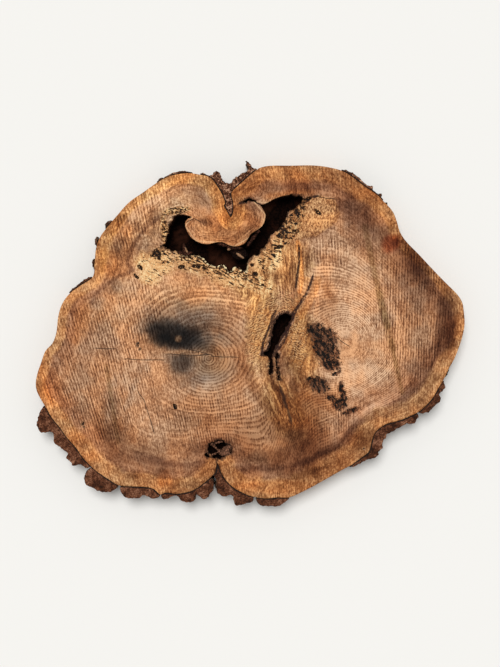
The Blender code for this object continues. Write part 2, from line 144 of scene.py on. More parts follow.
# Stains of each tone: x, y, half length, half width, turn in degrees, strength. Where the wood
# is bare, a stain takes away those before it, so some tones come again after it.
STAINS = (
    ("pale", (
        (-274, -200, 73, 112, 10, 0.2), (266, 66, 95, 73, 0, 0.35),
        (308, -172, 112, 78, -30, 0.35), (-280, 360, 95, 20, 38, 0.45),
    )),
    ("gold", (
        (-140, 112, 180, 50, 0, 0.5), (-403, 200, 34, 45, 0, 0.8), (-470, 38, 22, 73, -10, 0.5),
        (-78, 388, 39, 45, 0, 0.2), (112, 441, 118, 28, 0, 0.35), (109, 388, 73, 14, 8, 0.8),
        (342, 360, 67, 45, -45, 0.4), (140, -32, 39, 95, 10, 0.6), (34, 38, 34, 140, 0, 0.55),
        (76, -175, 17, 95, 30, 0.3), (157, -200, 34, 62, 20, 0.45), (-112, -74, 60, 44, 0, 0.6),
    )),
    ("orange", (
        (-577, -164, 20, 84, 10, 0.3), (-238, -410, 22, 25, 0, 0.6), (-468, -312, 22, 62, 42, 0.3),
        (84, -430, 110, 20, 0, 0.5),
    )),
    ("brown", (
        (-364, 307, 22, 28, -40, 0.5), (-361, 239, 34, 36, 0, 0.6), (-143, 413, 28, 25, 0, 0.35),
        (-25, 385, 22, 28, 0, 0.5), (-50, 374, 14, 50, 0, 0.5), (484, 172, 25, 67, 38, 0.85),
        (560, 43, 25, 84, 0, 0.85), (-532, -147, 22, 14, 0, 0.5), (-462, -307, 22, 20, -40, 0.5),
        (-249, -393, 25, 14, 0, 0.6), (-420, -256, 39, 22, -30, 0.3),
        (-364, -354, 34, 28, -30, 0.35), (316, -287, 25, 17, 30, 0.4), (109, 458, 14, 28, 0, 0.4),
        (224, 441, 14, 34, 10, 0.35), (176, 200, 34, 17, 60, 0.4), (176, 133, 34, 17, 60, 0.45),
        (129, -340, 129, 34, 12, 0.5), (470, 168, 30, 50, 40, 0.45),
    )),
    ("purple", (
        (148, 410, 70, 11, 0, 0.6), (291, 343, 34, 67, 40, 0.7), (-319, 234, 14, 73, -22, 0.5),
        (-266, 323, 62, 11, 35, 0.4), (-132, 312, 14, 8, -30, 0.7), (-482, -46, 45, 95, -10, 0.3),
        (-280, -354, 73, 17, -12, 0.55), (440, 94, 50, 112, 20, 0.25),
        (448, -130, 39, 112, -35, 0.35),
    )),
    ("grey", (
        (336, 234, 14, 73, -12, 0.2), (367, 60, 17, 118, -12, 0.2), (398, -108, 14, 95, -10, 0.15),
        (-389, -228, 25, 95, -4, 0.6), (-375, 136, 17, 22, 30, 0.7), (-420, 38, 45, 56, 0, 0.35),
        (-190, 7, 92, 59, 0, 0.6), (-168, -52, 95, 50, 0, 0.55), (-126, -139, 67, 28, 10, 0.3),
        (-328, -158, 11, 56, -20, 0.5),
    )),
    ("black", (
        (-232, 8, 62, 40, -20, 0.55), (-178, -14, 70, 40, -12, 0.7), (-208, -8, 64, 40, -16, 0.65),
        (-200, 12, 125, 76, -8, 0.35), (-256, -4, 40, 30, -10, 0.7), (-232, -24, 52, 20, -4, 0.75),
        (-164, -8, 28, 26, 0, 0.5),
    )),
    ("tan", (
        (-310, 300, 150, 84, 45, 0.75), (-170, 400, 110, 50, 0, 0.7),
    )),
    ("bright", (
        (-553, -150, 26, 40, 0, 0.7), (-455, -277, 40, 30, -40, 0.6),
    )),
    ("umber", (
        (143, -46, 24, 50, 0, 0.35),
    )),
    ("bare", (
        (-168, -56, 66, 9, -3, 0.75), (-201, -15, 9, 9, 0, 0.3),
    )),
    ("black", (
        (-193, -84, 34, 30, 0, 0.7),
    )),
    ("grey", (
        (-170, -100, 70, 45, -10, 0.7), (-110, 5, 100, 75, 0, 0.45), (-160, 45, 120, 55, 0, 0.6),
        (-130, -100, 90, 50, 10, 0.7),
    )),
    ("red", (
        (396, 252, 30, 24, 20, 0.95),
    )),
    ("brown", (
        (410, 256, 10, 10, 20, 0.9), (450, 215, 35, 60, 42, 0.5), (545, -20, 30, 60, 0, 0.45),
        (90, -345, 110, 22, 4, 0.4), (-5, 415, 26, 24, 0, 0.6), (-140, 373, 30, 20, 0, 0.25),
        (352, 300, 20, 60, 28, 0.4), (128, -300, 30, 30, 0, 0.6), (-50, 329, 26, 26, 30, 0.5),
        (-560, -120, 14, 22, 0, 0.4), (-395, 330, 16, 40, -40, 0.5),
        (-330, -400, 60, 16, -20, 0.5), (-180, -425, 60, 12, 0, 0.4), (345, -345, 40, 8, 25, 0.3),
        (500, -140, 16, 60, -30, 0.45), (300, 450, 60, 14, -25, 0.4), (60, 470, 50, 12, 0, 0.4),
        (-260, 430, 50, 12, 25, 0.4), (545, 100, 20, 60, -15, 0.6), (436, 215, 14, 60, 45, 0.4),
        (128, -390, 60, 12, 4, 0.5), (-122, 314, 20, 11, -35, 0.6), (90, -78, 18, 50, 8, 0.65),
        (176, -28, 20, 36, 15, 0.6),
    )),
    ("umber", (
        (60, -300, 150, 70, 5, 0.8), (65, -210, 50, 80, 20, 0.5), (90, 30, 60, 120, 0, 0.3),
        (-330, -330, 150, 50, -35, 0.45), (140, 420, 150, 40, 0, 0.5),
        (420, 200, 60, 120, 35, 0.5), (500, 0, 70, 130, 0, 0.35), (-170, -350, 170, 40, 0, 0.45),
        (310, 420, 90, 40, -45, 0.5), (-400, 250, 40, 90, 0, 0.1), (360, -300, 160, 30, 30, 0.35),
        (-60, -60, 80, 110, 0, 0.6), (-90, -215, 160, 50, 0, 0.5), (130, -20, 40, 110, 0, 0.4),
        (60, -395, 150, 30, 3, 0.3), (-190, -190, 90, 90, 0, 0.2), (175, -410, 130, 30, 22, 0.5),
        (165, -245, 56, 150, 8, 0.75), (260, -300, 100, 40, 25, 0.45), (130, -385, 60, 34, 0, 0.6),
        (218, 85, 28, 40, 0, 0.35), (84, -190, 30, 60, 20, 0.5), (330, 380, 60, 40, -40, 0.3),
        (160, -235, 46, 110, 5, 0.75), (222, -185, 34, 44, 0, 0.75), (128, -74, 22, 44, 10, 0.7),
        (84, -298, 40, 34, 0, 0.6), (308, -298, 44, 24, 30, 0.75), (532, 120, 24, 40, 0, 0.5),
        (-20, -90, 30, 60, 0, 0.4), (470, 222, 70, 22, -45, 0.8), (556, 20, 20, 90, 0, 0.4),
        (-440, 170, 50, 16, 30, 0.4), (215, 62, 52, 44, 0, 0.5), (-50, -390, 70, 22, 0, 0.5),
        (-364, -298, 60, 44, -35, 0.55), (390, 270, 40, 30, -45, 0.5),
        (-420, -120, 90, 160, 5, 0.25), (-140, 376, 34, 22, 0, 0.5), (300, -330, 130, 20, 25, 0.4),
        (84, -118, 20, 50, 10, 0.6), (-90, -280, 190, 50, 0, 0.4),
    )),
    ("gold", (
        (-280, 346, 140, 84, 35, 0.45), (-62, 304, 95, 67, 0, 0.85), (-378, 220, 56, 112, 0, 0.45),
        (-380, 60, 60, 60, 0, 0.3), (-100, 420, 150, 30, -10, 0.5),
    )),
    ("bright", (
        (-100, 296, 80, 56, 0, 0.3), (-543, -170, 34, 70, 5, 0.7), (-364, 284, 40, 34, 0, 0.7),
        (-315, 290, 40, 30, 30, 0.5), (90, 245, 60, 40, 0, 0.4), (-60, 345, 30, 40, 0, 0.4),
        (205, 140, 60, 46, 0, 0.25), (-340, 200, 40, 40, 0, 0.3), (-30, 100, 70, 60, 0, 0.35),
        (130, 430, 120, 30, 0, 0.25), (-500, -60, 26, 90, 0, 0.35), (-180, 400, 110, 40, 15, 0.3),
        (-498, -298, 18, 24, -40, 0.4), (84, 204, 32, 30, 0, 0.7),
    )),
    ("pale", (
        (-270, 150, 60, 50, 0, 0.3), (-200, 410, 110, 25, 20, 0.4), (-320, 290, 40, 110, -40, 0.3),
        (-229, 373, 34, 22, 30, 0.5), (-364, -29, 50, 60, 0, 0.4), (400, 130, 40, 90, 0, 0.2),
        (308, -346, 34, 14, 25, 0.6),
    )),
    ("purple", (
        (305, 300, 45, 80, 30, 0.55), (465, 130, 40, 90, 35, 0.5), (545, 20, 30, 90, 0, 0.45),
    )),
)

# Ragged ovals, all as x, y, half length, half width, turn. First the spongy, rotten wood.
SPONGE = (
    (-252, 200, 45, 39, 0), (-126, 200, 101, 36, -8), (-50, 164, 73, 34, -12),
    (34, 136, 45, 28, -20), (-280, 164, 34, 28, 0), (-300, 200, 22, 28, 0),
    (106, 288, 84, 24, 57), (-238, 285, 11, 46, 8), (-208, 344, 40, 10, 8), (60, 205, 40, 30, 40),
)

# The crotch: golden wood that flows along a spine between the two trunks
FIGURE = (
    (34, 66, 45, 196, 0), (98, 200, 73, 78, 0), (140, -32, 50, 123, 8), (92, -200, 50, 101, 25),
    (14, 136, 56, 56, 0),
)
SPINE = (
    (140, 332), (134, 234), (129, 125), (112, 43), (87, -18), (64, -80), (64, -125), (90, -181),
    (118, -253), (146, -340),
)

# Where rings show, where saw marks show and where the wood is crinkled beside the slot
RINGED = (
    (-70, -38, 90, 125, 0), (-140, 75, 160, 55, 0), (-106, -190, 130, 50, 0), (0, -190, 60, 90, 0),
    (272, -40, 85, 98, 0), (252, 125, 126, 100, 0), (342, -125, 85, 98, 0),
    (60, -270, 160, 60, -8), (200, -190, 50, 60, 0),
)
SAWN = (
    (-420, -110, 130, 200, 0), (-60, -230, 190, 85, 0), (455, 60, 110, 210, -8),
    (220, -230, 60, 80, 0), (215, 215, 70, 50, 0), (-300, 60, 90, 90, 0), (90, 150, 70, 80, 0),
    (-310, 315, 100, 44, 45),
)
CRINKLED = ((24, -6, 34, 92, -8), (84, 82, 52, 34, 0), (130, -16, 28, 80, 12))

# The burl's edge, and a circle round it for the fine mesh: x, y, radius
BURL_EDGE = (
    (100, 262), (134, 262), (185, 271), (221, 295), (243, 311), (252, 334), (249, 358),
    (236, 376), (196, 387), (154, 381), (120, 350),
)
BURL_CIRCLE = (190, 329, 70)

# The fine mesh along the spine: how far to each side of it, from which y and up to which y
SPINE_BAND = (72, -140, 292)

# The slot: its rim's middle lies between these two x, and its black edge of painted shade ends at
# this y
SLOT_BETWEEN = (20, 110, -56)

# Islands of black rot, and pits that go into the wood
ROT = (
    (181, 10, 22, 22, 0), (208, -34, 60, 34, -62), (222, -8, 30, 20, -45), (224, -84, 30, 22, -20),
    (193, -144, 30, 22, -25), (255, -152, 9, 20, 0), (250, -198, 22, 19, 0), (284, -216, 28, 8, 20),
    (262, -182, 9, 26, 0), (242, -112, 14, 6, 20), (226, -178, 14, 10, 0), (170, -130, 12, 10, 0),
)
PITS = (
    (-266, 225, 11.2, 11.2, 30), (-255, 217, 5.6, 11.2, 0), (-308, 186, 11, 4.5, -48),
    (-319, 160, 10, 3.6, -45), (-193, 186, 8.4, 4.5, 10), (-149, 188, 14, 4.6, -5),
    (-129, 183, 5.6, 4.2, 0), (14, 167, 7.3, 5.6, -25), (81, 242, 14, 5.6, 12),
    (126, 287, 11.2, 4.5, -5), (162, 377, 14, 4.5, 12), (193, 337, 8.4, 3.4, -30),
    (188, 343, 7, 2.8, -30), (-314, -32, 3.4, 6.7, 0), (-308, -43, 3.6, 3.6, 0),
    (-468, -253, 4.2, 6.2, -30), (-465, -262, 3.4, 3.4, 0), (319, -323, 3.4, 3.4, 0),
    (-210, -206, 3.6, 9, 20), (6, 192, 4.2, 4.2, 0), (36, 136, 3.6, 2.8, 0),
)

# Streaks of another tone that follow a line, among them painted highlights along ridges and painted
# shadow beside them: tone, half width, strength and the line
STREAKS = (
    ("olive", 11, 0.8, ((322, 300), (333, 245), (344, 190), (358, 130), (371, 70), (385, 20))),
    ("olive", 14, 0.6, ((362, 110), (374, 60), (388, 5), (400, -40))),
    ("olive", 8, 0.9, ((396, -20), (405, -70), (416, -120), (427, -168))),
    ("olive", 8, 0.7, ((-402, -90), (-390, -170), (-379, -240), (-370, -305))),
    ("brown", 6, 0.9, ((62, -58), (65, -80), (68, -102))),
    # Painted highlights along two ridges, then the painted shadow beside each.
    ("pale", 15, 0.55, ((-3, -69), (13, -99), (35, -155), (69, -181), (91, -219), (122, -253))),
    ("pale", 10, 0.55, ((101, -172), (112, -209), (129, -251))),
    ("umber", 22, 0.75, ((-6, -100), (8, -141), (32, -186), (60, -224), (92, -262))),
    ("umber", 12, 0.7, ((96, -165), (106, -205), (119, -250))),
    ("pale", 11, 0.6, ((146, -10), (149, -60), (160, -108), (185, -141))),
    # A ridge: a painted highlight along it, then its golden tone.
    ("bright", 8, 0.8, ((134, 256), (143, 200), (146, 160), (138, 118))),
    ("gold", 9, 0.7, ((134, 256), (143, 200), (146, 160), (138, 118))),
    ("purple", 7, 0.4, ((152, 255), (160, 215), (164, 180))),
    ("bright", 8, 0.6, ((185, 143), (188, 94), (184, 50))),
    ("bright", 4, 0.8, ((70, 32), (60, 2), (53, -22), (46, -44))),
    ("umber", 12, 0.8, ((210, 132), (224, 108), (240, 92))),
    ("umber", 14, 0.75, ((108, 8), (98, -18), (84, -38))),
    ("brown", 12, 0.6, ((122, 190), (118, 155), (126, 120), (140, 100))),
    ("brown", 16, 0.5, ((56, 195), (62, 160), (50, 135))),
    ("gold", 14, 0.7, ((190, 150), (180, 118), (160, 80), (146, 50))),
    ("gold", 12, 0.6, ((160, 150), (140, 100), (116, 70))),
    ("brown", 14, 0.7, ((54, -110), (62, -140), (84, -165), (96, -200))),
    ("brown", 18, 0.45, ((118, -90), (124, -130), (120, -180), (128, -230))),
    ("purple", 7, 0.75, (
        (-218, 340), (-258, 323), (-291, 295), (-319, 262), (-339, 228), (-344, 197), (-328, 178),
    )),
    ("purple", 6, 0.6, ((-328, 175), (-364, 161), (-398, 141), (-428, 113), (-445, 88))),
    ("pale", 8, 0.5, ((-14, -366), (50, -366), (108, -360), (168, -338), (242, -297), (272, -262))),
    ("purple", 12, 0.4, (
        (-30, -374), (50, -376), (112, -371), (174, -348), (249, -306), (278, -270),
    )),
    ("purple", 14, 0.5, (
        (272, -290), (300, -250), (345, -226), (390, -212), (430, -180), (462, -145),
    )),
    ("pale", 8, 0.5, ((290, -225), (330, -208), (380, -196), (418, -165), (446, -130))),
    ("pale", 5, 0.7, ((-34, -254), (0, -272), (50, -285), (104, -270))),
    ("pale", 5, 0.6, ((48, -312), (90, -318), (140, -298), (182, -276))),
    ("brown", 4, 0.4, ((-56, 326), (-50, 307), (-46, 296))),
    ("pale", 5, 0.5, ((-15, -290), (30, -306), (80, -304), (130, -285))),
)

# Lines on the face
CRACKS = (
    ((-232, -57), (-196, -60), (-168, -63), (-120, -60)),
    ((-347, -71), (-308, -74), (-244, -74)),
    ((-120, -63), (-78, -66), (-39, -66)),
    ((-431, -41), (-406, -43), (-378, -43)),
    ((-314, -164), (-297, -186), (-286, -220), (-277, -248), (-269, -276)),
    ((244, -13), (260, -24), (277, -35)), ((186, 385), (210, 379), (235, 377)),
    ((-176, 312), (-157, 322), (-140, 314)), ((-165, -47), (-137, -52), (-112, -59)),
)
SEAMS = (
    ((84, -150), (95, -181), (104, -211), (115, -245)),
    ((-92, -349), (-92, -365), (-92, -382), (-95, -405)),
)
GROOVES = (
    ((73, 63), (62, 46), (56, 24), (45, -4), (36, -27), (34, -52)),
    ((176, 161), (168, 136), (157, 108), (140, 83), (122, 60), (114, 48)),
    ((157, 108), (148, 99), (132, 71), (115, 35), (106, 7), (95, -24), (81, -43)),
    ((118, 50), (104, 21), (87, -13), (72, -44)),
    ((-28, 365), (-14, 371), (0, 374), (14, 371), (25, 363), (34, 357)),
    ((160, 371), (171, 382), (190, 385)), ((137, 244), (138, 205), (133, 165), (128, 130)),
)
HEART_EDGES = (
    ((-280, -349), (-238, -363), (-182, -371), (-126, -360)),
    ((-14, -382), (50, -382), (112, -377), (174, -354), (249, -312), (280, -276), (314, -245),
     (353, -234), (392, -225), (434, -195), (473, -155), (504, -105), (524, -55), (532, -4),
     (526, 49)),
    ((246, 357), (246, 332), (230, 301), (210, 284), (190, 276), (165, 270), (140, 265)),
)

# What the materials call each kind of line, and how far from a line it shows
FACE_LINES = {
    "crack": (CRACKS, 12), "groove": (GROOVES, 16), "seam": (SEAMS, 26), "heart": (HEART_EDGES, 26),
}

# Thin stretches of bark: how much paler, or if below 0 darker, each is than the rest
FLAKY = {"bark_notch": 1.0, "bark_top_left": 0.9, "bark_top_right": 1.0, "bark_shoulder": -1.4}

# Lumps that pieces are built of: x, y, z, half length, half width, half height, turn
BARK_BITS = (
    (-249, 433, 47, 11, 6, 27, 10), (-398, 309, 43, 13, 8, 31, 40), (-431, 256, 41, 6, 14, 33, 10),
    (-440, 197, 44, 4, 14, 30, 0), (364, 385, 52, 6, 11, 22, -20), (381, 365, 54, 6, 4, 20, 0),
    (552, -111, 42, 4, 20, 32, -25), (-404, 304, 20, 8, 6, 19, 40), (-390, 316, 16, 8, 5, 15, 40),
    (-434, 266, 22, 5, 9, 20, 10), (-430, 244, 18, 5, 8, 17, 10), (-441, 206, 20, 4, 8, 19, 0),
    (-440, 188, 26, 4, 7, 24, 0), (-256, 431, 24, 8, 5, 22, 10), (-241, 436, 18, 7, 4, 16, 12),
)
POCKET_CRUMBS = (
    (-66, -328, 60, 15, 11, 14, 20), (-76, -338, 60, 12, 7, 13, -20),
    (-58, -318, 60, 9, 10, 13, 40),
    (-85, -330, 58, 7, 5, 12, 0), (-62, -341, 61, 12, 6, 12, 10), (-95, -322, 65, 15, 3, 5, -38),
    (-101, -339, 64, 14, 3, 6, 25), (-88, -305, 64, 11, 4, 7, 5), (-106, -311, 63, 8, 4, 8, -25),
)
LEDGES = (
    (-30, 226, 40, 26, 18, 15, -25), (-2, 253, 58, 12, 5, 14, 50), (9, 269, 58, 13, 5, 14, 55),
    (21, 284, 57, 10, 4, 13, 40), (-75, 250, 59, 19, 5, 11, -8), (-50, 241, 58, 17, 5, 11, -10),
    (-30, 240, 57, 13, 5, 12, 0), (-184, 233, 58, 6, 18, 14, 4), (-197, 226, 60, 11, 6, 13, -20),
    (-172, 224, 60, 12, 6, 13, 20), (-185, 246, 56, 3.5, 8, 12, 5),
)
CHIPS = (
    (-59, 237, 60, 5, 4, 6, 20), (-28, 219, 56, 14, 4, 5, -35), (-178, 232, 69, 2.6, 13, 3, 25),
)


# Shapes

def polyline_distance(points, line):
    """How far each point is from a line of straight stretches, and on which side of it."""
    best = np.full(len(points), 1e9)
    side = np.ones(len(points))
    for start, end in zip(line[:-1], line[1:]):
        start, along = np.array(start, float), np.subtract(end, start).astype(float)
        share = np.clip((points - start) @ along / (along @ along), 0, 1)
        apart = points - start - share[:, None] * along
        far = np.hypot(apart[:, 0], apart[:, 1])
        nearer = far < best
        best = np.where(nearer, far, best)
        side = np.where(nearer, np.sign(along[0] * apart[:, 1] - along[1] * apart[:, 0]), side)
    return best, side


def lines_attributes(points, lines, reach):
    """The signed distance to the nearest of some lines, and how near it is, from 0 to 1."""
    best, signed = np.full(len(points), 1e9), np.zeros(len(points))
    for line in lines:
        far, side = polyline_distance(points, line)
        nearer = far < best
        signed = np.where(nearer, far * side, signed)
        best = np.where(nearer, far, best)
    return signed, 1 - smooth_step(best, reach * 0.5, reach)


def smooth_step(values, low, high):
    """0 up to low, 1 from high on, and a smooth rise between them."""
    share = np.clip((values - low) / (high - low), 0, 1)
    return share * share * (3 - 2 * share)


def wander(points, size, seed):
    """Smooth noise of about -1 to 1 at each point, with lumps of the given size."""
    return np.array([noise.noise((x / size, y / size, seed)) for x, y in points])


def lumpy(points, across, along, up):
    """Smooth noise of about -1 to 1 in space, with lumps of the given sizes."""
    return np.array([noise.noise((x / across, y / along, z / up)) for x, y, z in points])


def patch(points, ragged, x, y, half_length, half_width, turn):
    """1 inside a ragged oval and 0 outside it."""
    turn = math.radians(turn)
    away = points - (x, y)
    along = away[:, 0] * math.cos(turn) + away[:, 1] * math.sin(turn)
    across = away[:, 1] * math.cos(turn) - away[:, 0] * math.sin(turn)
    far = np.hypot(along / half_length, across / half_width) + ragged
    return 1 - smooth_step(far, 0.55, 1.35)


def tree_of(points):
    """A tree to look up the nearest of some points in."""
    tree = kdtree.KDTree(len(points))
    for index, (x, y) in enumerate(points):
        tree.insert((x, y, 0), index)
    tree.balance()
    return tree


def distances(points, tree):
    """How far each point is from the nearest point of a tree."""
    return np.array([tree.find((x, y, 0))[2] for x, y in points])


def even_distance(points, line, closed):
    """A distance from a line with no kinks, true close to it and shorter far from it."""
    step = 9
    total = np.zeros(len(points))
    for place in dense(line, closed, step):
        away = points - place
        total += 1 / ((away ** 2).sum(axis=1) + step * step) ** 2
    return (total * step * 2 / math.pi) ** (-1 / 3)


def dense(line, closed, step=1.5):
    """Points along a line, close together."""
    corners = np.array(line, float)
    if closed:
        corners = np.vstack([corners, corners[:1]])
    made = []
    for start, end in zip(corners[:-1], corners[1:]):
        count = max(1, int(np.hypot(*(end - start)) / step))
        made += [start + (end - start) * index / count for index in range(count)]
    return np.array(made)


def edge_loops(mesh, height):
    """The open loops of a mesh at a height, each as a list of its vertices in order."""
    edges = [
        edge for edge in mesh.edges
        if edge.is_boundary and all(abs(vert.co.z / MM - height) < ON_EDGE for vert in edge.verts)
    ]
    steps = {}
    for edge in edges:
        for vert in edge.verts:
            steps.setdefault(vert, []).append(edge.other_vert(vert))
    loops = []
    while steps:
        vert = next(iter(steps))
        loop = []
        while vert in steps:
            loop.append(vert)
            vert = next((other for other in steps.pop(vert) if other in steps), None)
        loops.append(loop)
    return sorted(loops, key=len, reverse=True)


def sides_of(loops):
    """Where the straight sides of closed loops of vertices start, and where they end."""
    corners = [np.array([vert.co.xy for vert in loop]) / MM for loop in loops]
    return np.vstack(corners), np.vstack([np.roll(loop, -1, axis=0) for loop in corners])


def crossings(sides, y):
    """The x of each place where a level line at the given y crosses such sides."""
    starts, ends = sides
    over = (starts[:, 1] > y) != (ends[:, 1] > y)
    rise = (ends - starts)[over]
    return starts[over, 0] + (y - starts[over, 1]) / rise[:, 1] * rise[:, 0]


def rows_inside(loops, step):
    """A grid of points inside the first loop and outside the others, with odd rows set over."""
    sides = sides_of(loops)
    heights = sides[0][:, 1]
    points = []
    for row in range(int(heights.min() // step), int(heights.max() // step) + 1):
        y = (row + ROW_OFFSET) * step
        found = np.sort(crossings(sides, y))
        for left, right in zip(found[::2], found[1::2]):
            for column in range(math.ceil(left / step), int(right // step) + 1):
                points.append((row, column, (column + row % 2 / 2) * step, y))
    return points


def cover(mesh, loops, inner, height):
    """Closes a flat face between loops, with more points inside it."""
    rim = [vert for loop in loops for vert in loop]
    edges, first = [], 0
    for loop in loops:
        edges += [(first + i, first + (i + 1) % len(loop)) for i in range(len(loop))]
        first += len(loop)
    places = [vert.co.xy / MM for vert in rim] + [Vector(point) for point in inner]
    found, _, faces, sources, _, _ = geometry.delaunay_2d_cdt(places, edges, [], 0, 1e-4)
    verts = []
    for at, source in zip(found, sources):
        if source and source[0] < len(rim):
            verts.append(rim[source[0]])
        else:
            verts.append(mesh.verts.new((at.x * MM, at.y * MM, height * MM)))
    sides = sides_of(loops)
    for face in faces:
        if all(sources[i] and sources[i][0] < len(rim) for i in face):
            x, y = np.mean([found[i] for i in face], axis=0)
            if (crossings(sides, y) > x).sum() % 2 == 0:
                continue
        mesh.faces.new([verts[i] for i in (face if height > TOP / 2 else reversed(face))])


def copy_of(node):
    """A bmesh of a CAD node with its corners joined up."""
    mesh = bmesh.new()
    mesh.from_mesh(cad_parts[node].data)
    bmesh.ops.remove_doubles(mesh, verts=mesh.verts, dist=1e-5)
    return mesh


def new_piece(name, mesh):
    """Makes an object of a bmesh."""
    data = bpy.data.meshes.new(name)
    mesh.to_mesh(data)
    mesh.free()
    piece = bpy.data.objects.new(name, data)
    bpy.context.scene.collection.objects.link(piece)
    return piece


def vectors_of(items, what):
    """A vector of each vertex or face of a mesh, such as its normal."""
    found = np.empty(len(items) * 3, np.float32)
    items.foreach_get(what, found)
    return found.reshape(-1, 3).astype(float)


def coordinates(piece):
    """The place of each vertex in millimetres."""
    return vectors_of(piece.data.vertices, "co") / MM


def place(piece, points):
    """Moves the vertices of a piece to new places in millimetres."""
    piece.data.vertices.foreach_set("co", (points * MM).astype(np.float32).ravel())
    piece.data.update()


def normals_of(piece):
    return vectors_of(piece.data.vertices, "normal")


def give(piece, name, values):
    """Stores a value or a colour on each vertex of a piece, for its material to read."""
    values = np.asarray(values, np.float32)
    if values.ndim == 1:
        piece.data.attributes.new(name, "FLOAT", "POINT").data.foreach_set("value", values)
    else:
        values = np.hstack([values, np.ones((len(values), 1), np.float32)])
        made = piece.data.attributes.new(name, "FLOAT_COLOR", "POINT")
        made.data.foreach_set("color", values.ravel())


def smooth(piece, degrees):
    """Shades a piece smoothly, except at edges that are sharper than the angle."""
    bpy.ops.object.select_all(action="DESELECT")
    piece.select_set(True)
    bpy.context.view_layer.objects.active = piece
    bpy.ops.object.shade_smooth_by_angle(angle=math.radians(degrees))
    piece.select_set(False)


def all_patches(points, patches, torn=1):
    """1 inside any of some ragged ovals and 0 outside them."""
    ragged = torn * (0.22 * wander(points, 14, SEED) + 0.16 * wander(points, 5, SEED + 1))
    found = np.zeros(len(points))
    for oval in patches:
        found = np.maximum(found, patch(points, ragged, *oval))
    return found


def fine_places(points, rims):
    """True where the face needs the finest mesh."""
    near = distances(points, rims) < FINE_RIM
    circles = [(x, y, 0.95 * max(sizes)) for x, y, *sizes, _ in SPONGE]
    circles += [(x, y, max(sizes) + 4) for x, y, *sizes, _ in PITS]
    for x, y, reach in (*circles, BURL_CIRCLE):
        near |= np.hypot(points[:, 0] - x, points[:, 1] - y) < reach
    far = polyline_distance(points, SPINE)[0]
    reach, low, high = SPINE_BAND
    return near | (far < reach) & (points[:, 1] > low) & (points[:, 1] < high)


def inside(points, corners):
    """How far inside a closed line each point is, less than 0 outside it."""
    closed = list(corners) + [corners[0]]
    far = polyline_distance(points, closed)[0]
    crossed = np.zeros(len(points), int)
    for (x, y), (other_x, other_y) in zip(closed[:-1], closed[1:]):
        over = (y > points[:, 1]) != (other_y > points[:, 1])
        at = x + (points[:, 1] - y) / (other_y - y if other_y != y else 1) * (other_x - x)
        crossed += over & (at > points[:, 0])
    return np.where(crossed % 2 == 1, far, -far)


def points_along(loops):
    """Points close together along closed loops of vertices."""
    return np.vstack([dense([vert.co.xy / MM for vert in loop], True) for loop in loops])


def cover_sawn_face(mesh, loops, outline_tree, rim_tree):
    """Closes the sawn face with a mesh that is finest at its rims and in its odd wood."""
    grid = rows_inside(loops, FINE_STEP)
    places = np.array([point[2:] for point in grid])
    coarse = np.array([row % 2 == 0 and column % 2 == 0 for row, column, _, _ in grid])
    clear = np.minimum(distances(places, outline_tree), distances(places, rim_tree))
    fine = fine_places(places, rim_tree)
    keep = (clear > FINE_STEP * 0.6) & (fine | (coarse & (clear > FACE_STEP * 0.5)))
    rng = np.random.default_rng(SEED)
    steps = np.where(fine, FINE_STEP, FACE_STEP)[:, None]
    jitter = rng.uniform(-JITTER, JITTER, places.shape) * steps
    cover(mesh, loops, (places + jitter)[keep], TOP)


def make_slice():
    """The slice with a fine face, its hollows and its sides."""
    mesh = copy_of("wood")
    flat = [
        face for face in mesh.faces
        if abs(face.normal.z) > 0.99
        and min(abs(face.calc_center_median().z / MM - level) for level in (0, TOP)) < ON_EDGE
    ]
    bmesh.ops.delete(mesh, geom=flat, context="FACES")
    long_edges = [edge for edge in mesh.edges if edge.calc_length() > LONG_EDGE * MM]
    bmesh.ops.subdivide_edges(mesh, edges=long_edges, cuts=WALL_CUTS)
    bmesh.ops.triangulate(mesh, faces=[face for face in mesh.faces if len(face.verts) > 4])
    loops = edge_loops(mesh, TOP)
    outline_tree, rim_tree = tree_of(points_along(loops[:1])), tree_of(points_along(loops[1:]))
    cover_sawn_face(mesh, loops, outline_tree, rim_tree)
    back = edge_loops(mesh, 0)
    inner = np.array([point[2:] for point in rows_inside(back, BACK_STEP)])
    back_tree = tree_of(points_along(back[:1]))
    cover(mesh, back, inner[distances(inner, back_tree) > BACK_STEP / 3], 0)
    corners = [vert.co.xy / MM for vert in loops[0]]
    left, right, foot = SLOT_BETWEEN
    rims = [(np.mean([vert.co.x for vert in loop]) / MM, loop) for loop in loops[1:]]
    slot_rim = points_along([loop for middle, loop in rims if left < middle < right])
    slot_tree = tree_of(slot_rim[slot_rim[:, 1] > foot])
    return new_piece("sawn_slice", mesh), corners, outline_tree, rim_tree, slot_tree


def ring_coordinate(points, edge):
    """How far out from the piths a place grew, from 0 at a pith to 1 at the edge."""
    inward = np.full(len(points), 1e9)
    for x, y, start in PITHS:
        far = np.hypot(points[:, 0] - x, points[:, 1] - y) + start
        blend = np.clip(0.5 + (inward - far) / 50, 0, 1)
        inward = inward + (far - inward) * blend - 12 * blend * (1 - blend)
    inward = np.maximum(inward, 0)
    return inward / (inward + edge + 1)


def sap_width(points):
    """How wide the sapwood is near each point, from the widths given round the edge."""
    total, weight = np.zeros(len(points)), np.zeros(len(points))
    for x, y, width in SAPWOOD:
        near = 1 / (np.hypot(points[:, 0] - x, points[:, 1] - y) + 15) ** 3
        total += near * width
        weight += near
    return total / weight


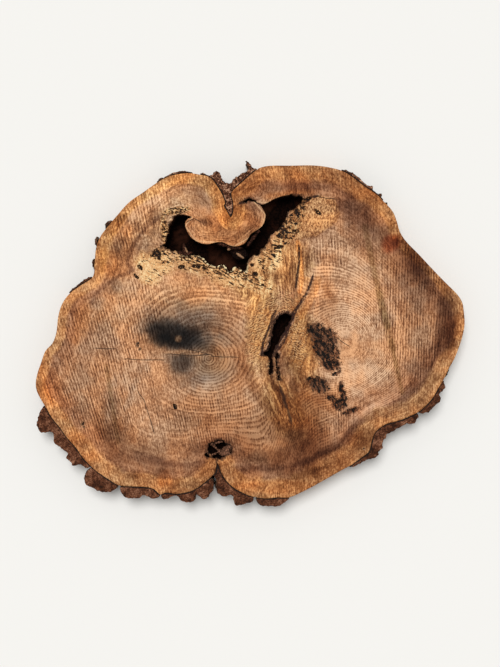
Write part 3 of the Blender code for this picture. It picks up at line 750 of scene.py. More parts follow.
def tint_of(points):
    """The effect of the stains and streaks on the wood's colour at each point, with the painted
    highlights and shadow of some streaks.
    """
    ragged = 0.2 * wander(points, 45, SEED) + 0.14 * wander(points, 15, SEED + 2)
    ragged += 0.1 * wander(points * (1, 0.2), 5, SEED + 3)
    tint = np.ones((len(points), 3))
    for tone, ovals in STAINS:
        for *oval, strength in ovals:
            share = patch(points, ragged, *oval)[:, None] * strength
            stained = np.array(TONES[tone]) if tone == "bare" else tint * TONES[tone]
            tint = tint * (1 - share) + stained * share
    for tone, half_width, strength, line in STREAKS:
        far = polyline_distance(points, line)[0] + 0.6 * ragged * half_width
        share = (1 - smooth_step(far, half_width * 0.5, half_width))[:, None] * strength
        tint = tint * (1 - share) + tint * TONES[tone] * share
    return tint


def worn_face(flat, rim, sponge, burl, rot):
    """Where the sawn face is eaten away, from 0 to 1, and how deep it is worn all over."""
    holes = wander(flat * (0.6, 1), 4.5, 3) + 0.6 * wander(flat * (0.7, 1), 2.6, 5)
    near_rim = 1 - smooth_step(rim, 2, 34)
    eaten = smooth_step(holes + 0.3 * near_rim, 0.5, 0.75) * np.clip(sponge + 0.7 * burl, 0, 1)
    pits = smooth_step(all_patches(flat, PITS, 2.4), 0.35, 0.6)
    eaten = np.maximum(eaten * np.clip(0.35 + near_rim, 0, 1), pits)
    groove = 1 - smooth_step(np.abs(lines_attributes(flat, *FACE_LINES["groove"])[0]), 0, 5)
    drop = PIT_DEPTH * eaten + SPONGE_DEPTH * np.clip(sponge - 0.2, 0, 1) * near_rim
    drop += ROT_DEPTH * rot + GROOVE_DEPTH * groove
    lumps = RIM_LUMPS * (1 - smooth_step(rim, 0, 16)) * np.maximum(sponge, 0.25 * burl)
    ripple = SAW_RIPPLE * wander(flat * (1, 0.05), 8, 9)
    return eaten, drop * (rim > 0.05) + lumps * (1 + holes) - ripple


def tear_rims(flat, edge, rim, healed):
    """Moves the rotten rims of the hollow to and fro, so that they look torn."""
    rotten = np.maximum(smooth_step(healed, 5, 14), smooth_step(-flat[:, 0], 188, 200))
    torn = (1 - smooth_step(rim, 0, 12)) * rotten * (edge > 8)
    for axis in (0, 1):
        away = 6 * wander(flat, 12, 20 + axis) + 2.4 * wander(flat, 5, 30 + axis)
        flat[:, axis] += torn * away


def roughen_walls(points, normals, on_face, edge, rim):
    """Gives the hollows rough walls and floors, and the trunk's bare side faint flutes."""
    deep = ~on_face & (rim < edge) & (points[:, 2] > 1)
    side = ~on_face & (rim >= edge) & (points[:, 2] > 1) & (points[:, 2] < TOP - 1)
    rough = lumpy(points, 9, 9, 16) + 0.6 * lumpy(points, 4, 4, 7)
    flutes = 0.7 * lumpy(points, 7, 7, 90) + 0.25 * rough
    push = np.where(deep, WALL_ROUGH * rough, 0) + np.where(side, flutes, 0)
    points[:, :2] += normals[:, :2] * push[:, None]
    floor = deep & (points[:, 2] < TOP - 12)
    points[:, 2] += np.where(floor, normals[:, 2] * FLOOR_ROUGH * rough, 0)


def shape_slice(piece, corners, outline_tree, rim_tree, slot_tree):
    """Roughens the fine mesh and stores what its materials read."""
    points = coordinates(piece)
    flat = points[:, :2]
    edge, rim = distances(flat, outline_tree), distances(flat, rim_tree)
    healed = distances(flat, tree_of(dense(HEALED_EDGE, False)))
    on_face = np.abs(points[:, 2] - TOP) < ON_EDGE
    sponge, rot = all_patches(flat, SPONGE), all_patches(flat, ROT)
    burl = smooth_step(inside(flat, BURL_EDGE) + 3 * wander(flat, 8, 4), -2, 3)
    pit, depth = worn_face(flat, rim, sponge, burl, rot)
    points[:, 2] -= np.where(on_face, depth, 0)
    tear_rims(flat, edge, rim, healed)
    roughen_walls(points, normals_of(piece), on_face, edge, rim)
    place(piece, points)

    near_edge = even_distance(flat, corners, True)
    near_edge = (near_edge ** -3 + even_distance(flat, HEALED_EDGE, False) ** -3) ** (-1 / 3)
    growth = ring_coordinate(flat, near_edge)
    spine, side_of = polyline_distance(flat, SPINE)
    stored = {
        "ring": growth * (RINGS_LEFT + MORE_RINGS_RIGHT * smooth_step(flat[:, 0], 20, 200)),
        "sap": edge / sap_width(flat), "rim": rim, "healed": healed,
        "slot": distances(flat, slot_tree), "sponge": sponge, "burl": burl, "rot": rot,
        "pit": pit, "figure": all_patches(flat, FIGURE),
        "ringed": all_patches(flat, RINGED, 2), "sawn": all_patches(flat, SAWN, 2),
        "crinkled": all_patches(flat, CRINKLED, 2), "spine": spine * side_of,
        "tint": tint_of(flat),
    }
    for name, (lines, reach) in FACE_LINES.items():
        stored[name], stored[name + "_near"] = lines_attributes(flat, lines, reach)
    for name, values in stored.items():
        give(piece, name, values)


def face_materials(piece, outline_tree, rim_tree, sawn, side, hollow, back):
    """One material for the sawn face, one for the trunk's side, one for the hollows, one below."""
    for material in (sawn, side, hollow, back):
        piece.data.materials.append(material)
    centres = vectors_of(piece.data.polygons, "center") / MM
    normals = vectors_of(piece.data.polygons, "normal")
    flat, height = centres[:, :2], centres[:, 2]
    inner = distances(flat, rim_tree) < distances(flat, outline_tree)
    index = np.where(inner, IN_HOLLOW, ON_SIDE)
    index = np.where((height > TOP - 11) & (normals[:, 2] > 0.45), ON_FACE, index)
    index = np.where(height < 0.5, ON_BACK, index)
    piece.data.polygons.foreach_set("material_index", index.astype(np.int32))


def remesh(piece, voxel):
    """Builds a piece anew from small even faces."""
    bpy.context.view_layer.objects.active = piece
    fine = piece.modifiers.new("fine", "REMESH")
    fine.mode = "VOXEL"
    fine.voxel_size = voxel * MM
    bpy.ops.object.modifier_apply(modifier=fine.name)


def make_bark(node, outline_tree):
    """A stretch of bark with a rough, ridged outside, made from its CAD node."""
    piece = new_piece("rough_" + node, copy_of(node))
    bpy.ops.object.select_all(action="DESELECT")
    remesh(piece, BARK_VOXEL)
    points, normals = coordinates(piece), normals_of(piece)
    depth = distances(points[:, :2], outline_tree)
    ridges, cracks = lumpy(points, 8, 8, 40), lumpy(points, 11, 11, 15)
    crumbs = lumpy(points, 3.4, 3.4, 3.4)
    sides = 1 - smooth_step(np.abs(normals[:, 2]), 0.5, 0.9)
    bulges = 2.6 * ridges - 3 * np.clip(cracks - 0.15, 0, 1) + 1.1 * crumbs
    push = smooth_step(depth, 5, 11) * sides * bulges
    if node in FLAKY:
        flakes = 3.2 * lumpy(points, 6, 6, 9) + 1.2 * crumbs - 0.6
        push += smooth_step(depth, 3, 7) * sides * flakes
    points += normals * push[:, None]
    top = smooth_step(normals[:, 2], 0.6, 0.9)
    points[:, 2] += top * (0.5 * crumbs + 0.8 * ridges - 0.9)
    points[:, 2] = np.clip(points[:, 2], 0, TOP)
    place(piece, points)
    give(piece, "depth", depth)
    give(piece, "flaky", np.full(len(points), FLAKY.get(node, 0.0)))
    return piece


def make_lumps(name, lumps, voxel, rough):
    """Rough lumps of wood or bark that are melted into each other where they touch."""
    made = []
    bpy.ops.object.select_all(action="DESELECT")
    for x, y, z, half_length, half_width, half_height, turn in lumps:
        bpy.ops.mesh.primitive_ico_sphere_add(
            subdivisions=3, radius=MM, location=(x * MM, y * MM, z * MM),
            rotation=(0, 0, math.radians(turn)),
        )
        bpy.context.object.scale = (half_length, half_width, half_height)
        made.append(bpy.context.object)
    for lump in made:
        lump.select_set(True)
    bpy.ops.object.join()
    piece = bpy.context.object
    bpy.ops.object.transform_apply(location=True, rotation=True, scale=True)
    piece.name = name
    remesh(piece, voxel)
    piece.select_set(False)
    points = coordinates(piece)
    push = lumpy(points, 9, 9, 10) + 0.8 * lumpy(points, 5, 5, 8)
    push += 0.5 * lumpy(points, 2.8, 2.8, 6)
    points += normals_of(piece) * push[:, None] * rough
    points[:, 2] = np.clip(points[:, 2], 1, TOP - 0.4)
    place(piece, points)
    return piece


# Materials

class Mix:
    """A tree of shader nodes that is built by short calls."""

    def __init__(self, tree):
        self.tree = tree

    def put(self, socket, value):
        if isinstance(value, bpy.types.NodeSocket):
            self.tree.links.new(value, socket)
        elif isinstance(value, (tuple, list)) and len(value) == 3 and socket.type == "RGBA":
            socket.default_value = (*value, 1)
        else:
            socket.default_value = value

    def node(self, kind, *inputs, **settings):
        made = self.tree.nodes.new("ShaderNode" + kind)
        for name, value in settings.items():
            setattr(made, name, value)
        for name, value in inputs:
            self.put(made.inputs[name], value)
        return made

    def math(self, operation, first, second=0.0, clamp=False):
        made = self.node("Math", (0, first), (1, second), operation=operation, use_clamp=clamp)
        return made.outputs[0]

    def add(self, first, second):
        return self.math("ADD", first, second)

    def times(self, first, second):
        return self.math("MULTIPLY", first, second)

    def less(self, first, second):
        return self.math("SUBTRACT", first, second)

    def step(self, value, low, high, start=0.0, end=1.0):
        made = self.node(
            "MapRange", ("Value", value), ("From Min", low), ("From Max", high),
            ("To Min", start), ("To Max", end), interpolation_type="SMOOTHSTEP",
        )
        return made.outputs[0]

    def weigh(self, value, *rules):
        """A value times a step of each rule: another value, low, high, start, end."""
        for rule in rules:
            value = self.times(value, self.step(*rule))
        return value

    def axis(self, vector, name):
        return self.node("SeparateXYZ", (0, vector)).outputs[name]

    def turned(self, vector, degrees):
        turn = (0, 0, math.radians(degrees))
        return self.node("Mapping", ("Vector", vector), ("Rotation", turn)).outputs[0]

    def attribute(self, name, colour=False):
        made = self.node("Attribute", attribute_name=name)
        return made.outputs["Color" if colour else "Fac"]

    def noise(self, vector, size, detail=2.0, rough=0.5, stretch=(1, 1, 1)):
        """Noise of 0 to 1 with lumps of the given size in millimetres."""
        scaled = self.node(
            "VectorMath", (0, vector), (1, tuple(1 / (size * MM * s) for s in stretch)),
            operation="MULTIPLY",
        ).outputs[0]
        made = self.node(
            "TexNoise", ("Vector", scaled), ("Scale", 1.0), ("Detail", detail),
            ("Roughness", rough),
        )
        return made.outputs["Fac"]

    def sway(self, vector, size, amount, detail=2.0, rough=0.5, stretch=(1, 1, 1)):
        """Noise about 0 that reaches half the given amount to each side."""
        return self.times(self.less(self.noise(vector, size, detail, rough, stretch), 0.5), amount)

    def flow(self, detail, *parts):
        """Noise at a place of its own, such as a distance from a line and a height."""
        where = self.node("CombineXYZ", *zip("XYZ", parts)).outputs[0]
        made = self.node("TexNoise", ("Vector", where), ("Scale", 1.0), ("Detail", detail))
        return made.outputs["Fac"]

    def line(self, name, sway, low, high, strong=1.0):
        """How much of a wavering line shows, from its attribute: all up to low, none from high."""
        off = self.math("ABSOLUTE", self.add(self.attribute(name), sway))
        return self.times(self.step(off, low, high, strong, 0.0), self.attribute(name + "_near"))

    def blend(self, share, first, second, kind="MIX"):
        made = self.node("Mix", data_type="RGBA", blend_type=kind, clamp_factor=True)
        self.put(made.inputs["Factor"], share)
        self.put(made.inputs[6], first)
        self.put(made.inputs[7], second)
        return made.outputs[2]

    def stain(self, share, colour, tone):
        return self.blend(share, colour, tone, "MULTIPLY")

    def blend_value(self, share, first, second):
        """first where share is 0 and second where it is 1."""
        return self.add(first, self.times(share, self.less(second, first)))

    def ramp(self, level, dark, middle, light):
        """One of three colours at a level of 0, 0.5 and 1, and what lies between them."""
        low = self.blend(self.times(level, 2.0), dark, middle)
        return self.blend(self.less(self.times(level, 2.0), 1.0), low, light)

    def group(self, tree, *inputs):
        made = self.tree.nodes.new("ShaderNodeGroup")
        made.node_tree = tree
        for name, value in inputs:
            self.put(made.inputs[name], value)
        return made

    def paint(self, shader, colour, height, deep):
        """Gives a shader its colour and a bump, where a height of 0 to 1 is as deep as given."""
        bump = self.node("Bump", ("Height", height), ("Distance", deep * MM), ("Strength", 1.0))
        self.put(shader.inputs["Base Color"], colour)
        self.put(shader.inputs["Normal"], bump.outputs["Normal"])


def new_group(name, inputs, outputs):
    """An empty node group with its sockets: its tree, its entry and its result."""
    tree = bpy.data.node_groups.new(name, "ShaderNodeTree")
    for socket, kind, value in inputs:
        made = tree.interface.new_socket(socket, in_out="INPUT", socket_type="NodeSocket" + kind)
        if value is not None:
            made.default_value = value
    for socket, kind in outputs:
        tree.interface.new_socket(socket, in_out="OUTPUT", socket_type="NodeSocket" + kind)
    return tree, tree.nodes.new("NodeGroupInput"), tree.nodes.new("NodeGroupOutput")


def grain_group():
    """Fine grain and mottling that every cut of this wood shows, from 0 to 1."""
    tree, entry, result = new_group(
        "wood_grain", [("Place", "Vector", None), ("Along", "Float", 1.0)],
        [("Grain", "Float"), ("Mottle", "Float")],
    )
    mix = Mix(tree)
    spot, along = entry.outputs["Place"], entry.outputs["Along"]
    stretched = mix.node("CombineXYZ", ("X", 1.0), ("Y", along), ("Z", 1.0)).outputs[0]
    streaked = mix.node("VectorMath", (0, spot), (1, stretched), operation="MULTIPLY").outputs[0]
    fine = mix.noise(streaked, 4.0, 2.0, 0.6)
    dots = mix.noise(spot, 2.4, 2.0, 0.6)
    grain = mix.add(mix.times(fine, 0.6), mix.times(dots, 0.4))
    tree.links.new(mix.step(grain, 0.28, 0.72), result.inputs["Grain"])
    tree.links.new(mix.noise(spot, 42, 4.0, 0.6), result.inputs["Mottle"])
    return tree


def new_material(name, rough, specular=0.25):
    """A material, its Mix, its shader and the object coordinates to use in it."""
    material = bpy.data.materials.new(name)
    material.use_nodes = True
    tree = material.node_tree
    shader = tree.nodes["Principled BSDF"]
    shader.inputs["Roughness"].default_value = rough
    shader.inputs["Specular IOR Level"].default_value = specular
    mix = Mix(tree)
    spot = mix.node("TexCoord").outputs["Object"]
    return material, mix, shader, spot


def saw_lines(mix, spot):
    """What the saw left, about 0: fine broken lines, and the even wave between them."""
    height = mix.axis(spot, "Y")
    pivot_x, pivot_y = SAW_PIVOT
    aside, above = mix.less(mix.axis(spot, "X"), pivot_x * MM), mix.less(height, pivot_y * MM)
    turn = mix.math("ARCTAN2", aside, above)
    across = mix.add(mix.times(turn, -pivot_y), mix.times(mix.noise(spot, 60, 2.0), 5.0))
    wave = mix.math("SINE", mix.times(across, 2 * math.pi / SAW_PITCH))
    broken = mix.step(mix.noise(spot, 9, 1.0, 0.5, (0.5, 1.8, 1)), 0.35, 0.65, 0.2, 1.6)
    lines = []
    for width, length, share in ((2.7, 36, 1.0), (7.5, 110, 0.4)):
        streaks = mix.flow(1.0, mix.times(across, 1 / width), mix.times(height, 1 / (length * MM)))
        lines.append(mix.times(mix.less(streaks, 0.5), share))
    return mix.add(*lines), mix.times(wave, broken)


def spine_lines(mix, spot):
    """Lines that flow along the crotch's spine, from about -0.5 to 0.5."""
    height = mix.axis(spot, "Y")
    spine = mix.add(mix.attribute("spine"), mix.sway(spot, 38, 26.0, 3.0))
    fine, broad = [
        mix.flow(2.0, mix.times(spine, 1 / width), mix.times(height, 1 / (length * MM)))
        for width, length in ((5.5, 60), (22, 120))
    ]
    return mix.less(mix.add(mix.times(fine, 0.55), mix.times(broad, 0.45)), 0.5)


def growth_rings(mix, spot):
    """Light and dark rings, each of its own strength, and two sets of bands along them."""
    ring = mix.add(mix.attribute("ring"), mix.times(mix.noise(spot, 70, 2.0), 1.1))
    ring = mix.add(ring, mix.times(mix.noise(spot, 12, 2.0), 0.35))
    phase = mix.math("FRACT", ring)
    numbers = [mix.math("FLOOR", ring), mix.math("FLOOR", mix.times(ring, 0.28))]
    own, shared = [
        mix.node("TexWhiteNoise", ("W", number), noise_dimensions="1D").outputs["Value"]
        for number in numbers
    ]
    strength = mix.weigh(
        mix.step(own, 0.0, 1.0, 0.4, 1.0), (shared, 0.2, 0.9, 0.6, 1.2),
        (mix.noise(spot, 90, 2.0), 0.35, 0.65, 0.5, 1.2),
        (mix.noise(spot, 10, 2.0), 0.3, 0.7, 0.5, 1.4),
    )
    light = mix.less(mix.step(phase, 0.3, 0.5), mix.step(phase, 0.58, 0.8))
    dark = mix.less(mix.step(phase, 0.7, 0.95), mix.step(phase, 0.0, 0.25))
    rings = mix.times(mix.less(light, mix.times(dark, 0.7)), strength)
    flows = []
    for across, along in ((3.6, 30), (0.24, 170)):
        x, y = [mix.times(mix.axis(spot, name), 1 / (along * MM)) for name in "XY"]
        flows.append(mix.less(mix.flow(2.0, x, y, mix.times(ring, across)), 0.5))
    return rings, flows


def crinkles(mix, spot):
    """Fine crumpled lines across the wood beside the slot, from 0 to 1, dark at 0."""
    aside = mix.math("ABSOLUTE", mix.less(mix.axis(spot, "X"), 92 * MM))
    fall = mix.add(mix.axis(spot, "Y"), mix.times(aside, 0.45))
    for size, amount in ((14, 22), (5, 9)):
        fall = mix.add(fall, mix.times(mix.noise(spot, size, 2.0), amount * MM))
    return mix.step(mix.math("SINE", mix.times(fall, 2 * math.pi / (6.8 * MM))), -1.0, 0.7)


def sawn_pattern(mix, spot, looks, marks, outer_heart):
    """The sawn face's pattern, dark at 0 and light at 1: rings, saw marks, grain and figure."""
    rings, flows = growth_rings(mix, spot)
    lines, even = saw_lines(mix, spot)
    sawn, ringed, figure, burl = [marks[name] for name in ("sawn", "ringed", "figure", "burl")]
    lobes = mix.step(marks["healed"], 20.0, 110.0)
    ring_part = mix.weigh(rings, (ringed, 0.0, 0.9, 0.12, 0.6), (figure, 0.1, 0.8, 1.0, 0.2))
    saw_part = mix.weigh(
        mix.add(lines, mix.weigh(even, (sawn, 0.0, 0.9, 0.08, 0.22))),
        (sawn, 0.0, 0.9, 0.75, 1.2), (burl, 0.0, 1.0, 1.0, 0.3),
        (marks["sponge"], 0.1, 0.6, 1.0, 0.3), (lobes, 0.0, 1.0, 0.5, 1.0),
        (ringed, 0.1, 0.9, 1.0, 0.65), (figure, 0.1, 0.8, 1.0, 0.5),
    )
    grain = mix.weigh(mix.less(looks.outputs["Grain"], 0.5), (burl, 0.0, 1.0, 0.75, 1.3))
    mottle = mix.times(mix.less(looks.outputs["Mottle"], 0.5), 0.45)
    flow = mix.add(
        mix.weigh(flows[0], (lobes, 0.0, 1.0, 1.3, 0.5)),
        mix.weigh(flows[1], (outer_heart, 0.0, 1.0, 0.6, 1.4)),
    )
    flow = mix.blend_value(figure, flow, mix.times(spine_lines(mix, spot), 3.2))
    level = mix.add(mix.add(ring_part, saw_part), mix.add(grain, mottle))
    return mix.math("ADD", mix.add(level, flow), 0.5, True)


def wood_colour(mix, spot, level, marks, sap, outer_heart, right_arm):
    """The colours of heart, sap, crotch, burl and sponge, with their stains and crinkles."""
    heart = mix.ramp(level, *HEARTWOOD)
    heart = mix.blend(mix.times(marks["figure"], 0.8), heart, mix.ramp(level, *CROTCH_WOOD))
    in_sap = mix.step(sap, 0.75, 1.25, 1.0, 0.0)
    colour = mix.blend(in_sap, heart, mix.ramp(level, *GOLDEN_SAPWOOD))
    blotch = mix.step(mix.noise(spot, 30, 4.0, 0.65), 0.5, 0.64, 0.0, 0.75)
    colour = mix.stain(mix.weigh(blotch, (sap, 0.8, 1.3, 1.0, 0.0)), colour, (0.5, 0.4, 0.3))
    colour = mix.stain(mix.times(outer_heart, 0.6), colour, (0.55, 0.42, 0.38))
    colour = mix.blend(mix.times(marks["burl"], 0.95), colour, mix.ramp(level, *BURL_WOOD))
    drifting = mix.step(mix.noise(spot, 75, 3.0), 0.35, 0.65)
    colour = mix.stain(1.0, colour, mix.blend(drifting, (1.07, 0.96, 0.86), (0.93, 1.0, 1.1)))
    colour = mix.stain(1.0, colour, mix.attribute("tint", True))
    spongy = mix.stain(mix.times(right_arm, 0.8), mix.ramp(level, *SPONGY_WOOD), (0.6, 0.5, 0.42))
    worn = mix.step(mix.noise(spot, 24, 4.0, 0.6), 0.42, 0.62, 0.0, 0.4)
    spongy = mix.stain(worn, spongy, (0.74, 0.6, 0.48))
    colour = mix.blend(mix.times(marks["sponge"], 0.9), colour, spongy)
    crumple = crinkles(mix, spot)
    crinkled = mix.noise(spot, 7, 2.0, 0.5, (1.6, 0.7, 1))
    crinkled = mix.weigh(mix.attribute("crinkled"), (crinkled, 0.35, 0.6, 0.3, 1.0))
    for low, high, start, end, tone in (
        (0.0, 0.6, 0.85, 0.0, (0.1, 0.036, 0.014)), (0.7, 1.0, 0.0, 0.6, (0.74, 0.46, 0.22)),
    ):
        colour = mix.blend(mix.weigh(crinkled, (crumple, low, high, start, end)), colour, tone)
    return colour


def slot_and_rot(mix, spot, colour, rot):
    """The scarred wood beside the slot, near-black painted shade along the slot's rim that makes
    its dark opening look wider, and the dark islands of rot.
    """
    fibres = mix.noise(mix.turned(spot, -62), 5.0, 3.0, 0.65, (5, 1, 1))
    beside = mix.add(mix.attribute("slot"), mix.sway(spot, 8, 22.0, 4.0, 0.75))
    scarred = mix.blend(mix.step(fibres, 0.5, 0.58), (0.02, 0.007, 0.005), (0.5, 0.26, 0.14))
    colour = mix.blend(mix.step(beside, 8.5, 12.0, 0.9, 0.0), colour, scarred)
    # Near-black on the face along the slot's rim: painted shade that widens the slot's dark
    # opening.
    colour = mix.blend(mix.step(beside, 2.6, 4.6, 1.0, 0.0), colour, (0.003, 0.0015, 0.0015))
    rot_place = mix.turned(spot, 60)
    ragged = mix.sway(rot_place, 9.0, 4.4, 5.0, 0.85, (1.2, 0.9, 1))
    islands = mix.noise(rot_place, 15, 4.0, 0.75, (1.7, 0.7, 1))
    rotten = mix.blend(mix.step(islands, 0.5, 0.64), (0.005, 0.003, 0.002), (0.15, 0.065, 0.033))
    colour = mix.stain(mix.step(rot, 0.1, 0.9, 0.0, 0.8), colour, (0.3, 0.17, 0.11))
    rotted = mix.step(mix.add(mix.times(rot, 0.72), ragged), 0.36, 0.56)
    return mix.blend(mix.weigh(rotted, (rot, 0.01, 0.2)), colour, rotten)


def draw_lines(mix, spot, colour, healed):
    """The grooves, the seams, the edge of the heart, a painted highlight along the healed rim, and
    the cracks.
    """
    broken = mix.noise(spot, 8, 3.0, 0.7)
    wide = mix.add(2.8, mix.times(mix.noise(spot, 16, 2.0), 4.0))
    groove = mix.line("groove", mix.sway(spot, 9, 7.0, 4.0, 0.7), 2.0, wide, 0.95)
    groove = mix.weigh(groove, (broken, 0.36, 0.48, 0.25, 1.0))
    colour = mix.blend(groove, colour, (0.028, 0.01, 0.008))
    wide = mix.times(mix.add(mix.noise(spot, 20, 3.0), -0.22), 26.0)
    seam = mix.line("seam", mix.sway(spot, 14, 9.0, 3.0), 0.6, wide)
    colour = mix.blend(mix.times(seam, 0.86), colour, (0.03, 0.012, 0.007))
    heart_line = mix.line("heart", mix.sway(spot, 30, 16.0, 3.0), 1.0, 13.0, 0.55)
    colour = mix.stain(heart_line, colour, (0.42, 0.32, 0.3))
    # A pale golden line along the lobes' healed rim: a painted highlight.
    colour = mix.blend(healed, colour, (0.78, 0.48, 0.25))
    crack = mix.line("crack", mix.sway(spot, 12, 3.0, 3.0), 0.5, 1.7)
    return mix.blend(mix.times(crack, 0.85), colour, (0.02, 0.01, 0.008)), crack


def holes_and_rims(mix, spot, colour, marks, left_arm, right_arm):
    """The holes in the spongy wood, the burnt and bitten rims of the hollow, and a painted
    highlight along its torn lower rim.
    """
    sponge, rim = marks["sponge"], marks["rim"]
    dashes = mix.noise(mix.turned(spot, 22), 6.0, 3.0, 0.6, (2.1, 0.62, 1.0))
    dashes = mix.blend_value(right_arm, dashes, mix.noise(spot, 10, 4.0, 0.7))
    rimmed = mix.add(dashes, mix.step(rim, 0.0, 75.0, 0.055, -0.015))
    rimmed = mix.add(rimmed, mix.add(mix.times(sponge, 0.03), mix.times(right_arm, 0.045)))
    in_sponge = mix.step(sponge, 0.15, 0.5)
    darkened = mix.weigh(in_sponge, (rimmed, 0.57, 0.61, 0.0, 0.8))
    colour = mix.blend(darkened, colour, (0.16, 0.055, 0.02))
    in_burl = mix.weigh(mix.times(marks["burl"], 0.6), (dashes, 0.66, 0.72))
    hole = mix.math("MAXIMUM", mix.weigh(in_sponge, (rimmed, 0.615, 0.65)), in_burl)
    pit = mix.add(mix.attribute("pit"), mix.sway(spot, 5.0, 4.0, 4.0, 0.75))
    pit = mix.weigh(mix.step(pit, 0.6, 0.8), (mix.attribute("pit"), 0.02, 0.2))
    hole = mix.math("MAXIMUM", hole, pit)
    rotten_edge = mix.math("MAXIMUM", mix.step(marks["healed"], 4.0, 12.0), left_arm)
    burnt = mix.step(mix.add(rim, mix.sway(spot, 9, -34.0, 4.0, 0.7)), 0.0, 7.0, 0.85, 0.0)
    burnt = mix.weigh(mix.times(burnt, rotten_edge), (sponge, 0.0, 0.6, 1.0, 0.35))
    colour = mix.blend(burnt, colour, (0.05, 0.019, 0.009))
    bitten = mix.step(mix.add(rim, mix.sway(spot, 6, -24.0, 4.0, 0.75)), 0.0, 1.6, 1.0, 0.0)
    colour = mix.blend(mix.times(bitten, rotten_edge), colour, (0.006, 0.003, 0.002))
    # A cream strip along the hollow's torn lower rim in the spongy wood: a painted highlight.
    torn = mix.step(mix.add(rim, mix.sway(spot, 7, 14.0, 3.0, 0.6)), 2.0, 5.0, 0.9, 0.0)
    torn = mix.times(torn, mix.times(sponge, mix.less(1.0, right_arm)))
    torn = mix.weigh(torn, (mix.axis(spot, "Y"), 206 * MM, 222 * MM, 1.0, 0.0))
    colour = mix.blend(torn, colour, (0.95, 0.78, 0.45))
    return mix.blend(hole, colour, (0.012, 0.006, 0.004)), hole


def sawn_material(grain):
    """The sawn face: heartwood, sapwood, rings, saw marks, stains, cracks and rot, with painted
    highlights along some rims and ridges and painted shade along the slot's rim.
    """
    material, mix, shader, spot = new_material("sawn_end_grain", 0.66, 0.08)
    looks = mix.group(grain, ("Place", spot), ("Along", 0.55))
    names = ("sponge", "burl", "figure", "healed", "sawn", "ringed", "rot", "rim")
    marks = {name: mix.attribute(name) for name in names}
    sap = mix.add(mix.attribute("sap"), mix.sway(spot, 26, 0.5, 3.0))
    outer_heart = mix.weigh(mix.step(sap, 0.85, 1.15), (sap, 1.3, 3.2, 1.0, 0.0))
    left_arm = mix.step(mix.axis(spot, "X"), -200 * MM, -186 * MM, 1.0, 0.0)
    right_arm = mix.node("VectorMath", (0, spot), (1, (0.78, 0.62, 0)), operation="DOT_PRODUCT")
    right_arm = mix.step(right_arm.outputs["Value"], 205 * MM, 245 * MM)
    level = sawn_pattern(mix, spot, looks, marks, outer_heart)
    colour = wood_colour(mix, spot, level, marks, sap, outer_heart, right_arm)
    colour = slot_and_rot(mix, spot, colour, marks["rot"])
    # Where the painted highlight along the healed rim shows, but not on the left arm.
    healed = mix.times(mix.step(marks["healed"], 0.7, 2.4, 0.6, 0.0), mix.less(1.0, left_arm))
    colour, crack = draw_lines(mix, spot, colour, healed)
    colour, hole = holes_and_rims(mix, spot, colour, marks, left_arm, right_arm)
    mix.put(shader.inputs["Roughness"], mix.step(level, 0.0, 1.0, 0.72, 0.52))
    height = mix.less(mix.times(level, 0.5), mix.add(hole, crack))
    mix.paint(shader, colour, height, 0.5)
    return material


def side_material(grain):
    """The trunk's bare side: smooth, silky wood with its grain along the trunk."""
    material, mix, shader, spot = new_material("bare_trunk_side", 0.6)
    looks = mix.group(grain, ("Place", spot), ("Along", 1.0))
    streak = mix.noise(spot, 5, 4.0, 0.65, (1, 1, 14))
    broad = mix.times(mix.noise(spot, 34, 3.0, 0.55, (1, 1, 3)), 0.28)
    fine = mix.times(looks.outputs["Grain"], 0.1)
    level = mix.step(mix.add(mix.times(streak, 0.62), mix.add(broad, fine)), 0.3, 0.7)
    colour = mix.blend(level, (0.11, 0.05, 0.024), (0.5, 0.26, 0.125))
    weather = mix.step(mix.noise(spot, 60, 3.0), 0.5, 0.7, 0.0, 0.5)
    colour = mix.blend(weather, colour, (0.15, 0.11, 0.085))
    mix.put(shader.inputs["Roughness"], mix.step(level, 0.0, 1.0, 0.7, 0.5))
    mix.paint(shader, colour, streak, 0.8)
    return material


def hollow_material(grain):
    """Dark rotted wood in the hollows, with painted shade that makes it near-black, blackest deep
    down.
    """
    material, mix, shader, spot = new_material("rotted_hollow_painted_shade", 0.9, 0.03)
    looks = mix.group(grain, ("Place", spot), ("Along", 1.0))
    # Painted shade: near-black deep down, browner near the face, and black all the way up in the
    # slot.
    near_face = mix.step(mix.axis(spot, "Z"), (TOP - 22) * MM, TOP * MM, 0.0, 1.0)
    in_slot = mix.step(mix.axis(spot, "Y"), 100 * MM, 115 * MM, 1.0, 0.0)
    crumb = mix.noise(spot, 6, 4.0, 0.7)
    deep = mix.blend(mix.step(crumb, 0.35, 0.7), (0.002, 0.001, 0.0008), (0.014, 0.005, 0.003))
    brown = mix.math("SUBTRACT", mix.step(mix.noise(spot, 70, 3.0), 0.52, 0.66), in_slot, True)
    deep = mix.blend(mix.times(brown, 0.8), deep, (0.045, 0.014, 0.007))
    rim = mix.blend(looks.outputs["Grain"], (0.03, 0.012, 0.006), (0.22, 0.1, 0.045))
    share = mix.times(mix.weigh(near_face, (crumb, 0.3, 0.65)), mix.less(1.0, in_slot))
    mix.paint(shader, mix.blend(share, deep, rim), crumb, 1.6)
    return material


def crumbling_material(grain, name, middle):
    """Brown rotten wood that crumbles in the pocket and under the edges of the hollow, with painted
    shade that makes it darker lower down.
    """
    material, mix, shader, spot = new_material(name, 0.9, 0.05)
    looks = mix.group(grain, ("Place", spot), ("Along", 1.0))
    bits = mix.noise(spot, 4.0, 4.0, 0.7)
    level = mix.add(mix.times(mix.less(bits, 0.5), 2.6), mix.times(looks.outputs["Grain"], 0.4))
    # Painted shade: darker lower down, lighter near the face.
    level = mix.add(level, mix.step(mix.axis(spot, "Z"), (TOP - 40) * MM, TOP * MM, -0.7, 0.3))
    colour = mix.ramp(level, (0.008, 0.004, 0.003), middle, [2.8 * share for share in middle])
    mix.paint(shader, colour, bits, 1.5)
    return material


